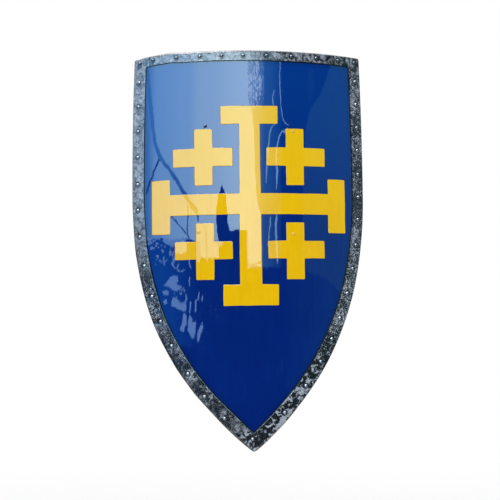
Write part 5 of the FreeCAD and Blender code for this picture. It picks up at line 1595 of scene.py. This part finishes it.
def make_sky_cards():
    """Sky on the left, and the bright gable and dim window next to it."""
    sky = [(136, (1.0, 1.5, 2.15, 1)), (146, (0.42, 1.3, 2.6, 1)), (158, (1.28, 2.65, 4.05, 1)),
           (186, (1.6, 3.0, 4.35, 1)), (202, (2.3, 3.65, 4.5, 1)), (248, (3.0, 4.5, 5.2, 1))]
    window = [(250, (1.4, 2.4, 3.0, 1)), (258, (0.6, 1.2, 1.8, 1)), (266, (0.14, 0.52, 0.95, 1)),
              (281, (0.04, 0.21, 0.45, 1))]
    gable = [(247, (2.2, 3.4, 4.4, 1)), (256, (1.6, 2.6, 3.6, 1)), (263, (0.75, 1.4, 2.3, 1)),
             (268.5, (0.2, 0.6, 1.05, 1))]
    veil = [(96, -70), (248, -70), (248, 101), (251.5, 106), (254, 124), (255, 160), (256, 190),
            (258, 205), (261, 215), (261, 262), (255, 264.5), (248.5, 263), (248.3, 233), (246.5, 231),
            (241, 230.5), (238.5, 229), (235, 229.5), (232, 232), (230, 230.5), (228.5, 228), (226, 240),
            (218.8, 240), (218.6, 257), (214, 258), (206, 259), (197, 257), (196.5, 241), (190, 240),
            (176, 238), (170, 241), (160, 236), (150, 238), (140, 234), (96, 236)]
    window_edge = [(247, -70), (281, -70), (281, 268), (247, 268)]
    gable_edge = [(246, -70), (268, -70), (269.5, 60), (269, 90), (267, 104), (246, 104)]
    crosslet_edge = [(175, 242), (186, 242), (186.5, 252), (182, 254), (175, 253)]
    make_card("window_card", [ragged(window_edge, 1.2, 18, 61)], 0, window)
    make_card("crosslet_light_card", [ragged(crosslet_edge, 0.5, 4, 64)], 3,
              [(0, (1.7, 3.0, 4.2, 1))])
    make_card("sky_card", [ragged(veil, 0.7, 9, 63)], 1, sky)
    make_card("gable_card", [ragged(gable_edge, 0.8, 12, 62)], 0, gable)


def make_side_cards():
    """Faint light on the right, with a glow beside it and a dim field below."""
    wedge = [(300, (0.055, 0.22, 0.20, 1)), (348, (0.075, 0.25, 0.22, 1)),
             (353, (0.20, 0.30, 0.40, 1))]
    low = [(287, (0.012, 0.05, 0.05, 1)), (340, (0.03, 0.13, 0.12, 1))]
    wedge_edge = [(338, -70), (330, 67), (326, 80), (321, 92), (314, 103), (309, 113),
                  (306.3, 126), (305, 143), (302, 200), (302, 262), (306, 272), (325, 278),
                  (336, 288), (346, 298), (400, 310), (400, -70)]
    glow_edge = [(309, 70), (314, 68), (314.5, 84), (312, 99), (309, 106), (308, 90)]
    low_edge = [(288, 246), (287, 440), (400, 440), (400, 246)]
    make_card("side_light_card", [ragged(wedge_edge, 0.6, 30, 65)], 2, wedge)
    make_card("side_glow_card", [ragged(glow_edge, 0.6, 14, 66)], 2, [(0, (0.02, 0.09, 0.10, 1))])
    make_card("low_light_card", [ragged(low_edge, 0.8, 30, 69)], 1, low)


def make_tree_cards():
    """A tree before the sky, its bough, and the shade under it."""
    shade = [(160, (0.03, 0.32, 1.15, 1)), (206, (0.006, 0.02, 0.04, 1))]
    bough_shade = [(150, (0.35, 1.2, 2.5, 1)), (190, (0.15, 0.6, 1.4, 1))]
    tree = [[(221.5, 184), (222.8, 190), (224.5, 188.5), (225.8, 194), (227, 203), (228.2, 213),
             (227.2, 224), (229.5, 229), (231.5, 241), (218.5, 241), (216.5, 222), (216.2, 212),
             (218, 195), (219.8, 192)],
            stroke([(187, 204), (188, 215), (187, 229), (189.5, 239)], 1.1),
            stroke([(171, 215), (178, 224), (185, 233), (190, 240)], 1.1),
            stroke([(160, 156), (152, 176), (146, 196)], 1.6)]
    bough = stroke([(148, 66), (150, 95), (154, 135), (158, 152), (165, 164), (174, 176),
                    (180, 186), (186, 196), (191, 204), (196.5, 211), (198.5, 223)], 3.6)
    shade_edge = [(146, 232), (207, 232), (209, 346), (179, 346), (166, 318), (157, 290),
                  (150, 262)]
    make_card("tree_card", [ragged(outline, 0.9, 5, 67) for outline in tree], 2,
              [(0, (0.006, 0.014, 0.026, 1))])
    make_card("streak_card", [stroke([(198.5, 240), (198.5, 250), (199.5, 262)], 3.6),
                              stroke([(205, 226), (206.5, 244), (207, 262)], 2.4)], 2,
              [(0, (1.2, 2.2, 3.2, 1))])
    make_card("bough_card", [ragged(bough, 0.9, 5, 67)], 3, bough_shade)
    make_card("shade_card", [ragged(shade_edge, 0.8, 12, 70)], 0, shade)


def make_leaf_cards():
    """Leaves and gaps of sky between them, low on the left."""
    leaves = [[(163, 285), (167, 281), (170, 277), (173, 275), (178, 276), (178.5, 281), (176, 283),
               (178, 285), (183, 286), (180, 289), (177, 290.5), (173, 290), (170, 287.5), (166, 286.5)],
              [(161, 290), (165, 289.5), (169, 292), (168, 295), (163, 295)],
              [(172, 298), (177, 297), (179, 301), (180.5, 303), (184, 303), (186.5, 305), (186, 311),
               (184, 312), (180, 309), (175, 307), (171, 305)],
              [(184, 313), (186.5, 315), (186.8, 324), (184, 332), (180, 330.5), (183, 321)],
              [(190, 314), (192, 316), (192.6, 322), (196, 321), (195.6, 331), (194.5, 338), (191.5, 337),
               (188, 331), (188, 321)],
              [(202.5, 322), (203.2, 327), (200.5, 335), (199, 342), (197, 342), (198, 333), (200.5, 327)],
              [(163, 300), (166, 299), (167, 303), (164, 305)]]
    leaves += [stroke(line, 1.3) for line in (
        [(190, 258), (189.6, 264), (191.5, 270)], [(189.8, 276), (189.6, 287)],
        [(199, 291), (198.2, 302)], [(202.8, 295), (202, 303)], [(186, 294), (186.6, 300), (184, 305)],
        [(190.8, 303), (190, 313)], [(172, 262), (174, 267), (177, 268), (179, 263)],
        [(196, 300), (195.5, 312)], [(181, 291), (184, 288)], [(177, 270), (181, 272), (185, 271)])]
    # Strewn spots as (x, y, width, height, count, size, seed).
    strewn = ((157, 244, 18, 20, 34, (1.5, 1.8), 71), (160, 260, 14, 12, 16, (1.2, 1.6), 73),
              (172, 256, 6, 20, 12, (1.6, 3), 74), (181, 296, 14, 18, 16, (0.8, 2), 75),
              (196, 330, 8, 14, 5, (0.8, 3), 76))
    outlines = [ragged(leaf, 0.7, 2.6, 72) for leaf in leaves]
    for strew in strewn:
        outlines += spots(*strew)
    make_card("leaf_card", outlines, 1, [(0, (1.0, 1.9, 3.3, 1))])
    hanging = [(140, 230), (222, 230), (222, 246), (214, 244), (207, 238), (198, 240), (189, 239),
               (180, 243), (172, 246), (166, 243), (160, 237), (154, 240), (148, 240)]
    make_card("hanging_leaf_card", [ragged(hanging, 1.6, 4, 77)], 1, [(0, (0.95, 2.0, 3.4, 1))])


def make_line_cards():
    """Fine light lines on the dark middle, and the glints and gaps beside the gable."""
    lines = [stroke([(279.5, 52), (279.6, 80), (280.6, 100), (282.4, 117), (285, 124), (290, 130)], 0.8),
             stroke([(274.5, 90), (273, 97), (273.3, 107)], 1.0),
             stroke([(275, 122), (270.5, 130), (268.5, 145), (267.5, 160), (266.5, 184)], 1.3),
             stroke([(288, 131), (281, 134), (277.5, 144), (275.8, 156), (277, 172), (276.5, 190)], 1.6),
             stroke([(277, 213), (276, 226), (276.6, 244), (277.4, 264)], 1.9),
             stroke([(271, 216), (269.5, 232), (268, 246)], 1.0)]
    make_card("line_card", [ragged(line, 0.5, 6, 77) for line in lines], 2,
              [(0, (1.5, 2.5, 3.4, 1))])
    make_card("glint_card", spots(254, 84, 15, 50, 240, (0.8, 1.9), 78), 2, [(0, (3.3, 4.4, 5.0, 1))])
    make_card("gap_card", spots(258, 84, 13, 52, 170, (0.7, 1.6), 79), 1, [(0, (1.1, 2.0, 3.0, 1))])


LAMP_AIM = Vector((0, 0, -0.1))


def make_lamp(name, place, size, power):
    """A round soft lamp that looks at the shield and isn't mirrored in it."""
    lamp = bpy.data.lights.new(name, "AREA")
    lamp.shape, lamp.size, lamp.energy = "DISK", size, power
    item = bpy.data.objects.new(name, lamp)
    bpy.context.scene.collection.objects.link(item)
    item.location = place
    item.rotation_euler = (LAMP_AIM - Vector(place)).to_track_quat("-Z", "Y").to_euler()
    item.visible_glossy = False
    item.visible_camera = False


def make_world():
    """White behind everything seen directly or in gloss; an even soft light otherwise."""
    world = bpy.data.worlds.new("studio")
    bpy.context.scene.world = world
    world.use_nodes = True
    world.node_tree.nodes.clear()
    board = Board(world.node_tree)
    seen = seen_share(board, board.add("LightPath").outputs)
    soft = board.add("Background", {"Color": (1, 1, 1, 1), "Strength": 0.55})
    white = board.add("Background", {"Color": (1, 1, 1, 1), "Strength": 1.0})
    mixed = board.add("MixShader", {0: seen, 1: soft.outputs[0], 2: white.outputs[0]})
    board.feed(board.add("OutputWorld").inputs["Surface"], mixed.outputs[0])


def make_camera():
    """The camera of the photo's view."""
    data = bpy.data.cameras.new("camera")
    data.lens, data.sensor_width, data.clip_end = LENS, SENSOR, 100.0
    item = bpy.data.objects.new("camera", data)
    bpy.context.scene.collection.objects.link(item)
    turned = Matrix((RIGHT, ABOVE, -AHEAD)).transposed().to_4x4()
    item.matrix_world = Matrix.Translation(CAMERA) @ turned
    bpy.context.scene.camera = item


make_floor()
make_screen()
make_sky_cards()
make_side_cards()
make_tree_cards()
make_leaf_cards()
make_line_cards()
make_world()
make_lamp("key_lamp", (-1.7, -2.7, 1.6), 1.8, 42.0)
make_lamp("fill_lamp", (2.2, -2.3, 0.6), 1.6, 18.0)
make_lamp("back_lamp", (0.8, 2.9, 1.7), 1.8, 46.0)
make_camera()
bpy.context.scene.view_settings.view_transform = "Standard"
